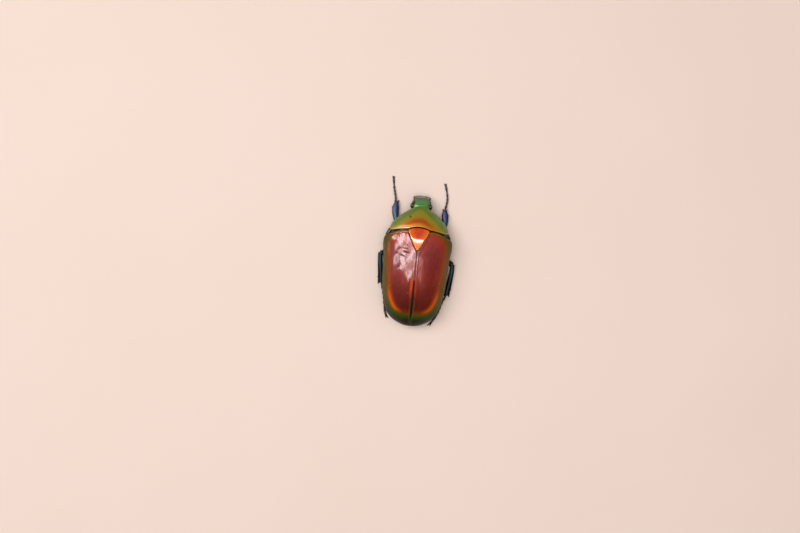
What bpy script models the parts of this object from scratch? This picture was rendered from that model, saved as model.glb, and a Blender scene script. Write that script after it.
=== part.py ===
# A flower beetle lying on its belly, head towards +Y, its right side towards +X.
# The origin is the middle of the flat of the belly, on the floor. Units are metres.

import bmesh
import bpy
import numpy as np
from mathutils import Vector

MM = 0.001

# Clear space between pieces that meet, and the thickness of the shell plates
GAP = 0.3 * MM
SHELL = 0.6 * MM

# How far the body lies inside the outer faces of the plates
CORE_INSET = 1.02 * MM

# Height of the back along the middle line, tail to head: y, z
BACK_LINE = np.array([
    (-15.7, 4.2), (-15.1, 5.15), (-14.1, 6.3), (-12.5, 7.55), (-10.5, 8.75), (-8.0, 9.75),
    (-4.5, 10.6), (-1.0, 10.9), (3.0, 10.7), (6.0, 10.25), (8.6, 9.6),
]) * MM

# Height of the underside along the middle line, tail to head: y, z
BELLY_LINE = np.array([
    (-14.6, 2.75), (-13.8, 2.2), (-12.0, 1.85), (-9.5, 1.5), (-6.0, 1.1), (-3.6, 0.75), (-2.7, -0.15),
    (0.0, -0.3), (3.0, -0.3), (4.3, 0.15), (5.5, 1.2), (7.0, 2.1), (8.5, 2.4),
]) * MM

# Outer margin of a wing case, from the shoulder round to the tip: x, y, z
CASE_MARGIN = np.array([
    (7.9, 5.85, 5.8), (8.42, 4.9, 5.35), (8.4, 3.4, 5.1), (8.1, 1.0, 4.9), (7.92, -2.0, 4.7),
    (7.85, -5.0, 4.5), (7.5, -8.0, 4.3), (6.85, -11.0, 4.1), (5.85, -13.2, 4.0),
    (4.1, -14.75, 3.9), (2.2, -15.65, 3.85), (0.4, -16.0, 3.85),
]) * MM

# Inner edge of a wing case, down the side of the scutellum and along the suture: x, y
CASE_INNER = np.array([
    (2.8, 7.3), (2.54, 6.48), (2.25, 5.84), (1.82, 5.06), (1.27, 3.86), (0.89, 3.11), (0.36, 2.42),
    (0.24, 1.9), (0.18, -1.0), (0.2, -6.0), (0.25, -11.0), (0.25, -13.2), (0.16, -14.6), (0.16, -15.45),
]) * MM

# Front edge of a wing case: how far it bulges, and how much more of that lies near the scutellum
CASE_FRONT_BULGE = 0.36 * MM
CASE_FRONT_LEAN = 0.35
CASE_FRONT_SHARE = 0.2

# Powers of the domed cross section, and rows and columns of points
CASE_DOME = (2.6, 1.7)
CASE_GRID = (23, 12)

# How much closer rows lie at the front and columns at the suture
CASE_ROW_POWER = 1.25
CASE_COLUMN_POWER = 0.9

# Least half width, and greatest share of it, at which a row's domed section may start
CASE_LEAST_HALF = 0.9 * MM
CASE_FIRST_SHARE = 0.6

# Swellings of a wing case, at the shoulder and near the tip: x, y, height, spread
CASE_SWELLINGS = np.array([(6.3, 5.1, 0.22, 1.0), (4.9, -12.4, 0.25, 1.2)]) * MM

# Side edge of the pronotum, front corner to hind corner: x, y, z
PRONOTUM_SIDE = np.array([
    (2.4, 12.55, 5.85), (3.9, 11.55, 5.45), (5.0, 10.65, 5.25), (6.0, 9.75, 5.2),
    (6.75, 8.6, 5.25), (7.06, 7.75, 5.35), (7.03, 7.12, 5.45),
]) * MM

# Middle line of the pronotum, head to scutellum: y, z
PRONOTUM_MIDDLE = np.array([(13.35, 6.75), (12.2, 7.75), (10.8, 8.65), (9.6, 9.25), (8.36, 9.65)]) * MM
PRONOTUM_DOME = (2.15, 1.75)
PRONOTUM_FRONT_BULGE = 0.3 * MM

# Share of its length over which the front bulge fades out and the wave of the hind edge fades in
PRONOTUM_HALFWAY = 0.5

# Hind edge of the pronotum, waved about a straight line: share of the half width, distance in millimetres
PRONOTUM_HIND_WAVE = np.array([
    (0.0, 0.0), (0.14, 0.1), (0.27, 0.04), (0.38, -0.12),
    (0.55, -0.06), (0.72, -0.07), (0.86, -0.08), (1.0, 0.0),
])
PRONOTUM_GRID = (11, 19)

# Half outline of the scutellum, front corner to tip: x, y
SCUTELLUM_SIDE = np.array([
    (2.4, 7.4), (2.2, 6.6), (1.92, 6.0), (1.5, 5.2), (0.95, 4.0), (0.58, 3.27), (0.05, 2.68),
]) * MM
SCUTELLUM_MIDDLE = np.array([(7.98,), (6.85,), (6.15,), (5.3,), (4.05,), (3.3,), (2.64,)]) * MM
SCUTELLUM_GRID = (9, 9)

# Sections of the head, neck to clypeus: y, half width, top, bottom
HEAD_SECTIONS = np.array([
    (12.4, 1.8, 5.75, 3.1), (13.0, 2.1, 6.0, 2.65), (13.6, 2.1, 5.95, 2.35), (14.2, 1.8, 5.55, 2.35),
    (14.7, 1.9, 5.15, 2.5), (15.15, 2.07, 4.8, 2.8), (15.6, 2.04, 4.5, 3.1), (15.88, 1.85, 4.4, 3.3),
    (16.0, 1.55, 4.3, 3.45),
]) * MM

# Widest level of a head section as a share of its height, and powers of its top and bottom
HEAD_EDGE_SHARE = 0.62
HEAD_DOME = (2.6, 1.8)
HEAD_BELLY_DOME = (2.2, 1.7)

# Eye, joint of the feeler in the head, and a mouth feeler: x, y, z, half width, half thickness
EYE_CENTRE = np.array([2.02, 13.42, 4.6]) * MM
EYE_RADII = np.array([0.7, 0.85, 0.8]) * MM
FEELER_JOINT_RADIUS = 0.3 * MM
PALP_PATH = np.array([
    (0.7, 14.2, 2.6, 0.3, 0.3), (1.05, 14.7, 2.3, 0.27, 0.27), (0.85, 15.2, 2.2, 0.25, 0.25),
]) * MM

# Points round a ring of the three parts of the body and of the head
BODY_SIDES = 26
PROTHORAX_SIDES = 22
HEAD_SIDES = 22

# How much closer the points of a ring lie at its sides
RING_POWER = 0.8

# Sections of the prothorax as shares of the pronotum's length, and its underside at some shares
PROTHORAX_SHARES = np.array([0.13, 0.26, 0.4, 0.55, 0.7, 0.83, 0.97])
PROTHORAX_BELLY_SHARES = (0, 0.35, 0.7, 1)
PROTHORAX_BELLY = np.array([3.1, 2.55, 2.4, 2.8]) * MM
PROTHORAX_BELLY_DOME = (2.0, 1.5)
PROTHORAX_SIDE_INSET = 0.1 * MM
PROTHORAX_SIDE_DROP = 0.35 * MM

# Front faces of the prothorax and thorax: middle's y, side edge's x, y, z, top and bottom
PROTHORAX_FRONT = np.array([12.0, 2.0, 11.9, 4.7, 6.2, 3.0]) * MM
THORAX_FRONT = np.array([7.95, 6.0, 6.8, 4.9, 8.6, 2.3]) * MM

# Sections of the thorax and abdomen as shares of the wing cases' length, and powers of their undersides
THORAX_SHARES = np.array([0.0, 0.035, 0.08, 0.13, 0.19, 0.25, 0.31, 0.375])
THORAX_BELLY_DOME = (2.6, 1.5)
ABDOMEN_SHARES = np.array([0.395, 0.46, 0.47, 0.53, 0.54, 0.6, 0.61, 0.67, 0.68, 0.74, 0.75, 0.81, 0.86])
ABDOMEN_BELLY_DOME = (2.3, 1.6)
HIND_SIDE_DROP = 0.1 * MM

# Height of the abdomen's underside over the belly line at each section: a step at each seam
ABDOMEN_STEPS = np.array([
    0.15, 0.0, 0.15, 0.0, 0.15, 0.0, 0.15, 0.0, 0.15, 0.0, 0.15, -0.05, -0.35,
]) * MM

# Feeler, folded back under the head: x, y, z, half width, half thickness
FEELER_PATH = np.array([
    (1.62, 15.0, 2.55, 0.26, 0.26), (2.0, 14.5, 2.5, 0.32, 0.3), (2.1, 13.95, 2.4, 0.25, 0.25),
    (1.95, 13.4, 2.15, 0.27, 0.27), (1.65, 13.1, 1.75, 0.25, 0.25), (1.25, 13.3, 1.6, 0.3, 0.3),
    (0.85, 14.0, 1.5, 0.42, 0.38), (0.5, 14.8, 1.4, 0.36, 0.3),
]) * MM

# Rounded sections of the thorax's forward horn: x, y, z, half width, half thickness
STERNAL_HORN = np.array([
    (0, 3.3, 0.75, 1.2, 0.7), (0, 4.8, 0.85, 1.05, 0.65),
    (0, 6.2, 1.15, 0.85, 0.55), (0, 7.4, 1.5, 0.6, 0.45),
]) * MM

# Upright wedge between pronotum and wing case: x, y, z, half width, half thickness
SIDE_PLATE = np.array([
    (6.65, 6.5, 2.6, 0.75, 0.3), (6.98, 6.56, 3.7, 1.0, 0.42), (7.15, 6.6, 4.62, 1.14, 0.46),
]) * MM

# Direction in plan in which the wedge faces
SIDE_PLATE_OUT = (0.88, 0.48)

# Hind plate of the body, from under the wing cases downwards: half width, y, z
PYGIDIUM_ROWS = np.array([
    (3.5, -14.3, 4.75), (4.0, -14.75, 4.2), (4.0, -15.1, 3.6), (3.6, -15.3, 3.0),
    (2.8, -15.1, 2.45), (1.6, -14.65, 2.1),
]) * MM

# How far forward the hind plate's surface has bent at a half width, and rows and columns of points
PYGIDIUM_WRAP = 1.15 * MM
PYGIDIUM_HALF = 4.0 * MM
PYGIDIUM_GRID = (7, 11)

# Room cut for the hind plate: its share of the half width and its depth
ROOM_REACH = 1.6
ROOM_DEPTH = 5.0 * MM

# Each leg, hip to tip of foot, right side written as positive x: x, y, z, half width, half thickness
LEGS = {
    "fore_left": {
        "coxa": ((-1.65, 10.1, 2.05), (1.15, 0.85, 1.1)),
        "femur": [(-2.1, 10.0, 1.6, 0.7, 0.55), (-3.7, 9.6, 1.45, 0.9, 0.6), (-5.6, 9.0, 1.4, 0.6, 0.5)],
        "tibia": [(-5.65, 9.15, 1.4, 0.42, 0.4), (-6.1, 10.6, 1.35, 0.7, 0.42),
                  (-6.28, 12.2, 1.25, 0.82, 0.42), (-6.15, 14.1, 1.1, 0.72, 0.4)],
        "tarsus": [(-6.35, 14.43, 1.0), (-6.55, 15.4, 0.72), (-6.9, 16.8, 0.5), (-7.15, 18.0, 0.36),
                   (-7.4, 19.5, 0.3)],
        "claws": [(-7.25, 20.35, 0.18), (-7.75, 20.4, 0.18)],
        "outer": -1,
    },
    "fore_right": {
        "coxa": ((1.65, 10.1, 2.05), (1.15, 0.85, 1.1)),
        "femur": [(2.1, 10.0, 1.6, 0.7, 0.55), (4.0, 9.3, 1.45, 0.9, 0.6), (6.05, 8.15, 1.4, 0.6, 0.5)],
        "tibia": [(6.1, 8.3, 1.4, 0.42, 0.4), (6.2, 9.7, 1.35, 0.7, 0.42),
                  (6.12, 11.3, 1.25, 0.82, 0.42), (5.9, 13.0, 1.1, 0.76, 0.4)],
        "tarsus": [(5.92, 13.33, 1.0), (6.12, 14.4, 0.72), (6.25, 15.8, 0.5), (6.05, 17.2, 0.36),
                   (5.6, 18.9, 0.3)],
        "claws": [(5.05, 19.7, 0.18), (5.62, 19.78, 0.18)],
        "outer": 1,
    },
    "mid_left": {
        "coxa": ((-2.75, 2.8, 0.8), (0.95, 0.8, 0.75)),
        "femur": [(-3.1, 2.7, 0.72, 0.7, 0.5), (-5.7, 2.1, 0.85, 0.9, 0.55), (-8.75, 1.15, 1.45, 0.6, 0.5)],
        "tibia": [(-8.92, 1.2, 1.5, 0.55, 0.45), (-8.85, -0.4, 1.45, 0.55, 0.45),
                  (-8.6, -2.2, 1.35, 0.62, 0.48), (-8.3, -4.3, 1.2, 0.7, 0.48),
                  (-8.12, -6.0, 1.05, 0.74, 0.48)],
        "tarsus": [(-7.9, -6.4, 0.95), (-7.4, -8.0, 0.65), (-6.95, -10.0, 0.45), (-6.7, -12.0, 0.34),
                   (-6.3, -13.5, 0.3)],
        "claws": [(-5.45, -14.6, 0.18), (-6.0, -14.65, 0.18)],
        "outer": -1,
    },
    "mid_right": {
        "coxa": ((2.75, 2.8, 0.8), (0.95, 0.8, 0.75)),
        "femur": [(3.1, 2.7, 0.72, 0.7, 0.5), (5.8, 1.6, 0.85, 0.9, 0.55), (8.85, 0.0, 1.45, 0.6, 0.5)],
        "tibia": [(9.02, -0.1, 1.5, 0.55, 0.45), (9.05, -1.6, 1.45, 0.55, 0.45),
                  (8.85, -3.4, 1.35, 0.62, 0.48), (8.55, -5.6, 1.2, 0.7, 0.48),
                  (8.28, -7.6, 1.05, 0.72, 0.48)],
        "tarsus": [(8.1, -7.96, 0.95), (7.45, -9.4, 0.65), (6.95, -11.0, 0.45), (6.4, -12.7, 0.34),
                   (5.4, -14.4, 0.3)],
        "claws": [(4.25, -15.6, 0.18), (4.9, -15.7, 0.18)],
        "outer": 1,
    },
    "hind_left": {
        "coxa": ((-2.1, -3.5, 0.72), (1.1, 0.65, 0.66)),
        "femur": [(-2.5, -3.6, 0.66, 0.75, 0.5), (-4.6, -3.95, 0.72, 1.05, 0.55),
                  (-6.75, -4.6, 0.85, 0.62, 0.5)],
        "tibia": [(-6.75, -4.8, 0.85, 0.5, 0.42), (-6.0, -6.6, 0.8, 0.55, 0.42),
                  (-4.95, -8.6, 0.7, 0.65, 0.45), (-3.95, -10.5, 0.65, 0.72, 0.45)],
        "tarsus": [(-3.8, -10.83, 0.6), (-3.55, -12.0, 0.48), (-3.05, -13.3, 0.38), (-2.35, -14.3, 0.32),
                   (-1.7, -14.95, 0.3)],
        "claws": [(-1.05, -15.45, 0.18), (-1.6, -15.65, 0.18)],
        "outer": -1,
    },
    "hind_right": {
        "coxa": ((2.1, -3.5, 0.72), (1.1, 0.65, 0.66)),
        "femur": [(2.5, -3.6, 0.66, 0.75, 0.5), (4.6, -4.05, 0.72, 1.05, 0.55), (6.7, -4.9, 0.85, 0.62, 0.5)],
        "tibia": [(6.7, -5.1, 0.85, 0.5, 0.42), (6.05, -6.9, 0.8, 0.55, 0.42), (5.15, -8.9, 0.7, 0.65, 0.45),
                  (4.3, -10.9, 0.65, 0.72, 0.45)],
        "tarsus": [(4.18, -11.23, 0.6), (3.9, -12.3, 0.48), (3.35, -13.5, 0.38), (2.6, -14.4, 0.32),
                   (2.0, -15.0, 0.3)],
        "claws": [(1.35, -15.5, 0.18), (1.9, -15.7, 0.18)],
        "outer": 1,
    },
}

# Ends of the five joints of a foot, as shares of its length
FOOT_BOUNDS = np.array([0.0, 0.17, 0.33, 0.5, 0.67, 1.0])

# Each joint's widths: root, swelling and end, as shares of the radius; where it swells, and its end gaps
FOOT_RADIUS = 0.3 * MM
FOOT_WIDTHS = [0.84, 1.15, 0.95]
FOOT_SWELLING = 0.8
FOOT_ROOT_GAP = 0.02
FOOT_END_GAP = 0.01
FOOT_SIDES = 7

# A claw: radius, its shares at root, middle and tip, how deep it is rooted and how much it bends
CLAW_RADIUS = 0.26 * MM
CLAW_SHARES = np.array([1.0, 0.9, 0.35])
CLAW_ROOT = 0.35 * MM
CLAW_BEND = 0.12 * MM

# Spurs at the end of a shin, in shares of its half width and half thickness: root, tip, tip's drop
SPURS = ((0.6, 1.2, 0.1), (-0.62, -1.3, 0.2), (-0.45, -0.9, 0.95))
SPUR_RADIUS = 0.24 * MM
SPUR_LENGTH = 0.75 * MM
SPUR_ROOT_SHARE = 0.5
SPUR_TIP_SHARE = 0.55
SPUR_SIDES = 6
SPUR_BLUNTNESS = 0.3

# Tooth on the outer edge of a shin: radius, root as a share of the half width, reach out and forwards
TOOTH_RADIUS = 0.288 * MM
TOOTH_ROOT_SHARE = 0.5
TOOTH_OUT = 0.3 * MM
TOOTH_AHEAD = 0.5 * MM

# Rounded ends: how far they reach as a share of the half thickness, and how narrow they end
ROUND_REACH = 0.55
ROUND_NARROWING = 0.6

# Rings and sides of a thigh or shin, share of its growth that also lengthens it, and points of a ball
LIMB_RINGS = 7
LIMB_SIDES = 8
LIMB_LENGTHENING = 0.6
BALL_SEGMENTS = 10
EYE_SEGMENTS = 14

# Clear space of the sockets beyond the gap between pieces
SOCKET_SPACE = 0.03 * MM

# Block below the floor that cuts flats: width and depth
FLOOR_WIDTH = 60 * MM
FLOOR_DEPTH = 4 * MM

# Points nearer than this are merged; edges sharper than this many radians stay sharp
MERGE_DISTANCE = 0.001 * MM
SHARP_ANGLE = 0.7

# Half of the step over which a slope of the back line is measured
SLOPE_STEP = 0.2 * MM

# Surface finish of each kind of piece: colour, roughness, metallic
FINISHES = {
    "wing_case": ((0.26, 0.032, 0.03), 0.22, 0.35),
    "pronotum": ((0.2, 0.22, 0.04), 0.25, 0.4),
    "scutellum": ((0.75, 0.09, 0.02), 0.22, 0.35),
    "head": ((0.08, 0.24, 0.08), 0.3, 0.4),
    "underside": ((0.03, 0.07, 0.04), 0.3, 0.4),
    "thigh": ((0.02, 0.06, 0.06), 0.3, 0.4),
    "shin": ((0.03, 0.06, 0.12), 0.3, 0.4),
    "foot": ((0.03, 0.012, 0.01), 0.35, 0.1),
    "feeler": ((0.06, 0.02, 0.012), 0.4, 0.0),
    "eye": ((0.02, 0.012, 0.008), 0.15, 0.0),
}


def clear_scene():
    for old in list(bpy.data.objects):
        bpy.data.objects.remove(old)


def new_collection(name):
    made = bpy.data.collections.new(name)
    bpy.context.scene.collection.children.link(made)
    return made


def new_material(name, colour, roughness, metallic):
    made = bpy.data.materials.new(name)
    made.use_nodes = True
    shader = made.node_tree.nodes["Principled BSDF"]
    shader.inputs["Base Color"].default_value = (*colour, 1.0)
    shader.inputs["Roughness"].default_value = roughness
    shader.inputs["Metallic"].default_value = metallic
    return made


def read_curve(table, places):
    """A smooth curve through the rows of a table, whose first column rises, read at some places."""
    knots = table[:, 0]
    values = table[:, 1:]
    rises = np.diff(values, axis=0) / np.diff(knots)[:, None]
    slopes = np.concatenate((rises[:1], np.zeros((len(knots) - 2, values.shape[1])), rises[-1:]))
    both = rises[1:] * rises[:-1]
    slopes[1:-1] = np.where(both > 0, 2 * both / np.where(both > 0, rises[1:] + rises[:-1], 1), 0)
    places = np.clip(places, knots[0], knots[-1])
    span = np.clip(np.searchsorted(knots, places, side="right") - 1, 0, len(knots) - 2)
    step = (knots[span + 1] - knots[span])[:, None]
    t = ((places - knots[span])[:, None]) / step
    start = values[span] * (2 * t**3 - 3 * t**2 + 1) + slopes[span] * step * (t**3 - 2 * t**2 + t)
    return start + values[span + 1] * (3 * t**2 - 2 * t**3) + slopes[span + 1] * step * (t**3 - t**2)


def along(points, shares):
    """Points at shares, 0 to 1, of the length of a smooth path through some points."""
    points = np.asarray(points, dtype=float)
    lengths = np.linalg.norm(np.diff(points[:, :3], axis=0), axis=1)
    knots = np.concatenate(([0.0], np.cumsum(lengths))) / np.sum(lengths)
    return read_curve(np.column_stack((knots, points)), np.asarray(shares, dtype=float))


def dome(share, power):
    """Height of a domed section, 1 in the middle and 0 at the edge, where it is upright."""
    return (1 - np.clip(np.abs(share), 0, 1) ** power[0]) ** (1 / power[1])


def grid_faces(rows, columns, turned):
    """Quads of a grid of points, seen from above as left to right and top to bottom."""
    quads = []
    for row in range(rows - 1):
        for column in range(columns - 1):
            corner = row * columns + column
            quad = (corner, corner + columns, corner + columns + 1, corner + 1)
            quads.append(quad[::-1] if turned else quad)
    return quads


def loft_faces(count, sides):
    """Faces of rings of points joined end to end, with a pole at each end."""
    quads = []
    for ring in range(count - 1):
        for side in range(sides):
            here = ring * sides + side
            there = ring * sides + (side + 1) % sides
            quads.append((here, there, there + sides, here + sides))
    first = count * sides
    for side in range(sides):
        quads.append((first, (side + 1) % sides, side))
        quads.append((first + 1, first - sides + side, first - sides + (side + 1) % sides))
    return quads


def new_object(name, points, faces, place, finish, collection):
    """A mesh object whose origin is at a place of its own on the beetle."""
    mesh = bpy.data.meshes.new(name)
    mesh.from_pydata((np.asarray(points) - place).tolist(), [], faces)
    made = bpy.data.objects.new(name, mesh)
    made.location = Vector(place)
    if finish:
        mesh.materials.append(finish)
    collection.objects.link(made)
    return made


def close_up(obj):
    """Turn every face of a closed mesh outwards."""
    work = bmesh.new()
    work.from_mesh(obj.data)
    bmesh.ops.remove_doubles(work, verts=work.verts, dist=MERGE_DISTANCE)
    bmesh.ops.recalc_face_normals(work, faces=work.faces)
    work.to_mesh(obj.data)
    work.free()


def shade(obj):
    obj.data.shade_smooth()
    obj.data.set_sharp_from_angle(angle=SHARP_ANGLE)


def shell(name, sheet, place, turned, finish, collection):
    """A plate of even thickness under an open sheet of points."""
    rows, columns = sheet.shape[:2]
    faces = grid_faces(rows, columns, turned)
    made = new_object(name, sheet.reshape(-1, 3), faces, place, finish, collection)
    thick = made.modifiers.new("plate thickness", "SOLIDIFY")
    thick.thickness = SHELL
    thick.offset = -1
    shade(made)
    return made


def loft(name, rings, place, finish, collection, pole_y=None):
    """A closed body through rings of points; pole_y moves the middles of its two end faces."""
    count, sides = rings.shape[:2]
    poles = np.array([rings[0].mean(axis=0), rings[-1].mean(axis=0)])
    if pole_y is not None:
        poles[:, 1] = pole_y
    points = np.concatenate((rings.reshape(-1, 3), poles))
    made = new_object(name, points, loft_faces(count, sides), place, finish, collection)
    close_up(made)
    shade(made)
    return made


def sweep_rings(path, sides, up=(0, 0, 1)):
    """Oval rings square to a path, each with its own half width and half thickness."""
    path = np.asarray(path, dtype=float)
    heading = np.gradient(path[:, :3], axis=0)
    heading /= np.linalg.norm(heading, axis=1)[:, None]
    side = np.cross(heading, np.asarray(up, dtype=float))
    side /= np.linalg.norm(side, axis=1)[:, None]
    top = np.cross(side, heading)
    turn = np.arange(sides) * 2 * np.pi / sides
    across = side[:, None, :] * (path[:, 3, None] * np.cos(turn))[:, :, None]
    upward = top[:, None, :] * (path[:, 4, None] * np.sin(turn))[:, :, None]
    return path[:, None, :3] + across + upward


def round_tip(last, before):
    """A narrower row beyond the last row of a path."""
    tip = last.copy()
    way = last[:3] - before[:3]
    tip[:3] += way / np.linalg.norm(way) * last[4] * ROUND_REACH
    tip[3:] *= ROUND_NARROWING
    return tip


def rounded(path, start, end):
    """A path with its ends drawn out and narrowed, so that the body on it ends round."""
    path = np.asarray(path, dtype=float)
    rows = [path]
    if start:
        rows.insert(0, round_tip(path[0], path[1])[None])
    if end:
        rows.append(round_tip(path[-1], path[-2])[None])
    return np.concatenate(rows)


def ball(name, centre, radii, finish, collection, segments=BALL_SEGMENTS):
    """An egg-shaped body."""
    mesh = bpy.data.meshes.new(name)
    work = bmesh.new()
    bmesh.ops.create_uvsphere(work, u_segments=segments, v_segments=segments * 2 // 3, radius=1.0)
    bmesh.ops.scale(work, vec=Vector(radii), verts=work.verts)
    work.to_mesh(mesh)
    work.free()
    made = bpy.data.objects.new(name, mesh)
    made.location = Vector(centre)
    if finish:
        mesh.materials.append(finish)
    collection.objects.link(made)
    shade(made)
    return made


def largest_body(mesh):
    """Keep only the largest closed surface of a mesh."""
    work = bmesh.new()
    work.from_mesh(mesh)
    unseen = set(work.verts)
    bodies = []
    while unseen:
        body = [unseen.pop()]
        for vertex in body:
            for edge in vertex.link_edges:
                other = edge.other_vert(vertex)
                if other in unseen:
                    unseen.remove(other)
                    body.append(other)
        bodies.append(body)
    bodies.sort(key=len)
    for scrap in bodies[:-1]:
        bmesh.ops.delete(work, geom=scrap, context="VERTS")
    work.to_mesh(mesh)
    work.free()


def split_faces(mesh):
    """Cut every face into triangles, which are flat, as a Boolean needs."""
    work = bmesh.new()
    work.from_mesh(mesh)
    bmesh.ops.triangulate(work, faces=work.faces)
    work.to_mesh(mesh)
    work.free()


def combine(target, others, operation):
    """Join closed pieces to a target or cut them from it, in one Boolean that is then applied."""
    helpers = new_collection("helpers")
    split_faces(target.data)
    for other in others:
        split_faces(other.data)
        for home in list(other.users_collection):
            home.objects.unlink(other)
        helpers.objects.link(other)
    change = target.modifiers.new("combine", "BOOLEAN")
    change.operation = operation
    change.operand_type = "COLLECTION"
    change.collection = helpers
    change.solver = "EXACT"
    bpy.context.view_layer.update()
    graph = bpy.context.evaluated_depsgraph_get()
    result = bpy.data.meshes.new_from_object(target.evaluated_get(graph))
    target.modifiers.clear()
    target.data = result
    largest_body(result)
    for other in others:
        bpy.data.objects.remove(other)
    bpy.data.collections.remove(helpers)
    shade(target)


def case_stations(shares):
    """Inner edge, top of the back and outer margin of the wing cases at shares of their length."""
    inner = along(CASE_INNER, shares)
    outer = along(CASE_MARGIN, shares)
    top = read_curve(BACK_LINE, inner[:, 1])[:, 0]
    return inner, outer, top


def wing_case_sheet(side):
    """Domed sheet of a wing case: rows fan from the suture to the outer margin."""
    rows, columns = CASE_GRID
    shares = 1 - (1 - np.linspace(0, 1, rows)) ** CASE_ROW_POWER
    inner, outer, top = case_stations(shares)
    first = (inner[:, 0] / outer[:, 0].clip(CASE_LEAST_HALF))[:, None].clip(0, CASE_FIRST_SHARE)
    spread = np.sin(np.linspace(0, 1, columns) * np.pi / 2)[None, :] ** CASE_COLUMN_POWER
    across = first + (1 - first) * spread
    x = inner[:, :1] + (outer[:, :1] - inner[:, :1]) * spread
    y = inner[:, 1:2] + (outer[:, 1:2] - inner[:, 1:2]) * spread
    wave = np.sin(spread * np.pi) + CASE_FRONT_LEAN * np.sin(2 * spread * np.pi)
    y = y + CASE_FRONT_BULGE * wave * (1 - shares[:, None] / CASE_FRONT_SHARE).clip(0, 1) ** 2
    z = outer[:, 2:3] + (top[:, None] - outer[:, 2:3]) * dome(across, CASE_DOME)
    for swell_x, swell_y, height, wide in CASE_SWELLINGS:
        far = ((x - swell_x) ** 2 + (y - swell_y) ** 2) / (2 * wide**2)
        z = z + height * np.exp(-far)
    return np.stack((x * side, y, z), axis=2)


def back_height(x, y):
    """Height of the back over a place in plan, for the plates between the wing cases."""
    places = np.ravel(y)
    top = read_curve(BACK_LINE, places)[:, 0].reshape(np.shape(y))
    margin = read_curve(CASE_MARGIN[::-1][:, [1, 0, 2]], places)
    half = margin[:, 0].reshape(np.shape(y))
    edge = margin[:, 1].reshape(np.shape(y))
    return edge + (top - edge) * dome(x / half, CASE_DOME)


def pronotum_sheet():
    """Domed sheet of the pronotum: rows run from side edge to side edge, bent like its hind edge."""
    rows, columns = PRONOTUM_GRID
    shares = np.linspace(0, 1, rows)
    middle = along(PRONOTUM_MIDDLE, shares)
    side = along(PRONOTUM_SIDE, shares)
    across = np.sin(np.linspace(-1, 1, columns) * np.pi / 2)[None, :]
    far = np.abs(across)
    x = side[:, :1] * across
    y = middle[:, :1] + (side[:, 1:2] - middle[:, :1]) * far
    y = y + PRONOTUM_FRONT_BULGE * np.sin(far * np.pi) * (1 - shares[:, None] / PRONOTUM_HALFWAY).clip(0, 1)
    wave = np.interp(far, PRONOTUM_HIND_WAVE[:, 0], PRONOTUM_HIND_WAVE[:, 1] * MM)
    y = y + wave * (shares[:, None] / PRONOTUM_HALFWAY - 1).clip(0, 1)
    z = side[:, 2:3] + (middle[:, 1:2] - side[:, 2:3]) * dome(across, PRONOTUM_DOME)
    return np.stack((x, y, z), axis=2)


def scutellum_sheet():
    """Long triangle that lies level with the wing cases."""
    rows, columns = SCUTELLUM_GRID
    shares = np.linspace(0, 1, rows)
    middle = along(np.column_stack((SCUTELLUM_MIDDLE, SCUTELLUM_MIDDLE * 0)), shares)
    side = along(SCUTELLUM_SIDE, shares)
    across = np.linspace(-1, 1, columns)[None, :]
    x = side[:, :1] * across
    y = middle[:, :1] + (side[:, 1:2] - middle[:, :1]) * across**2
    z = back_height(x, y)
    return np.stack((x, y, z), axis=2)


def body_rings(middle_y, edge, tops, bottoms, dome_power, belly_power, sides):
    """Closed rings, widest at an edge and domed above and below it; above it they lean to another middle."""
    turn = (np.arange(sides) + 0.5) * 2 * np.pi / sides
    across = np.sign(np.cos(turn)) * np.abs(np.cos(turn)) ** RING_POWER
    lean = np.where(np.sin(turn) > 0, 1 - np.abs(across), 0)
    rings = np.empty((len(tops), sides, 3))
    rings[:, :, 0] = edge[:, :1] * across
    rings[:, :, 1] = edge[:, 1:2] + (middle_y[:, None] - edge[:, 1:2]) * lean
    upper = edge[:, 2:3] + (tops[:, None] - edge[:, 2:3]) * dome(across, dome_power)
    lower = edge[:, 2:3] - (edge[:, 2:3] - bottoms[:, None]) * dome(across, belly_power)
    rings[:, :, 2] = np.where(np.sin(turn) > 0, upper, lower)
    return rings


def inset_edge(edge, shares, distance):
    """Points of a margin at shares of its length, moved inwards in plan, square to the margin."""
    here = along(edge, shares)
    heading = along(edge, shares + 0.01)[:, :2] - along(edge, shares - 0.01)[:, :2]
    heading /= np.linalg.norm(heading, axis=1)[:, None]
    here[:, 0] += heading[:, 1] * distance
    here[:, 1] -= heading[:, 0] * distance
    return here


def inset_back(line, places, distance):
    """Points of the back line at places along Y, moved inwards square to the line: y, z."""
    here = read_curve(line, places)[:, 0]
    rise = read_curve(line, places + SLOPE_STEP)[:, 0] - read_curve(line, places - SLOPE_STEP)[:, 0]
    slope = rise / (2 * SLOPE_STEP)
    length = np.sqrt(1 + slope**2)
    return places + slope / length * distance, here - distance / length


def hind_body_rings(shares, lift, belly_power):
    """Middles and rings of the body under the wing cases, kept clear of them."""
    inner = case_stations(shares)[0]
    side = inset_edge(CASE_MARGIN, shares, CORE_INSET)
    side[:, 2] -= HIND_SIDE_DROP
    middle, top = inset_back(BACK_LINE, inner[:, 1], CORE_INSET)
    bottom = read_curve(BELLY_LINE, side[:, 1])[:, 0] + lift
    rings = body_rings(middle, side, top, bottom, CASE_DOME, belly_power, BODY_SIDES)
    return (middle + side[:, 1]) / 2, rings


def front_face(numbers, dome_power, belly_power, sides):
    """One ring for the front of a body, from the y of its middle, its side edge, top and bottom."""
    row = numbers[None]
    return body_rings(row[:, 0], row[:, 1:4], row[:, 4], row[:, 5], dome_power, belly_power, sides)


def make_wing_cases(collection, finish):
    for name, side in (("left", -1), ("right", 1)):
        place = np.array([side * 8.0, 5.5, 5.5]) * MM
        shell(f"wing_case_{name}", wing_case_sheet(side), place, side < 0, finish, collection)


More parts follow.
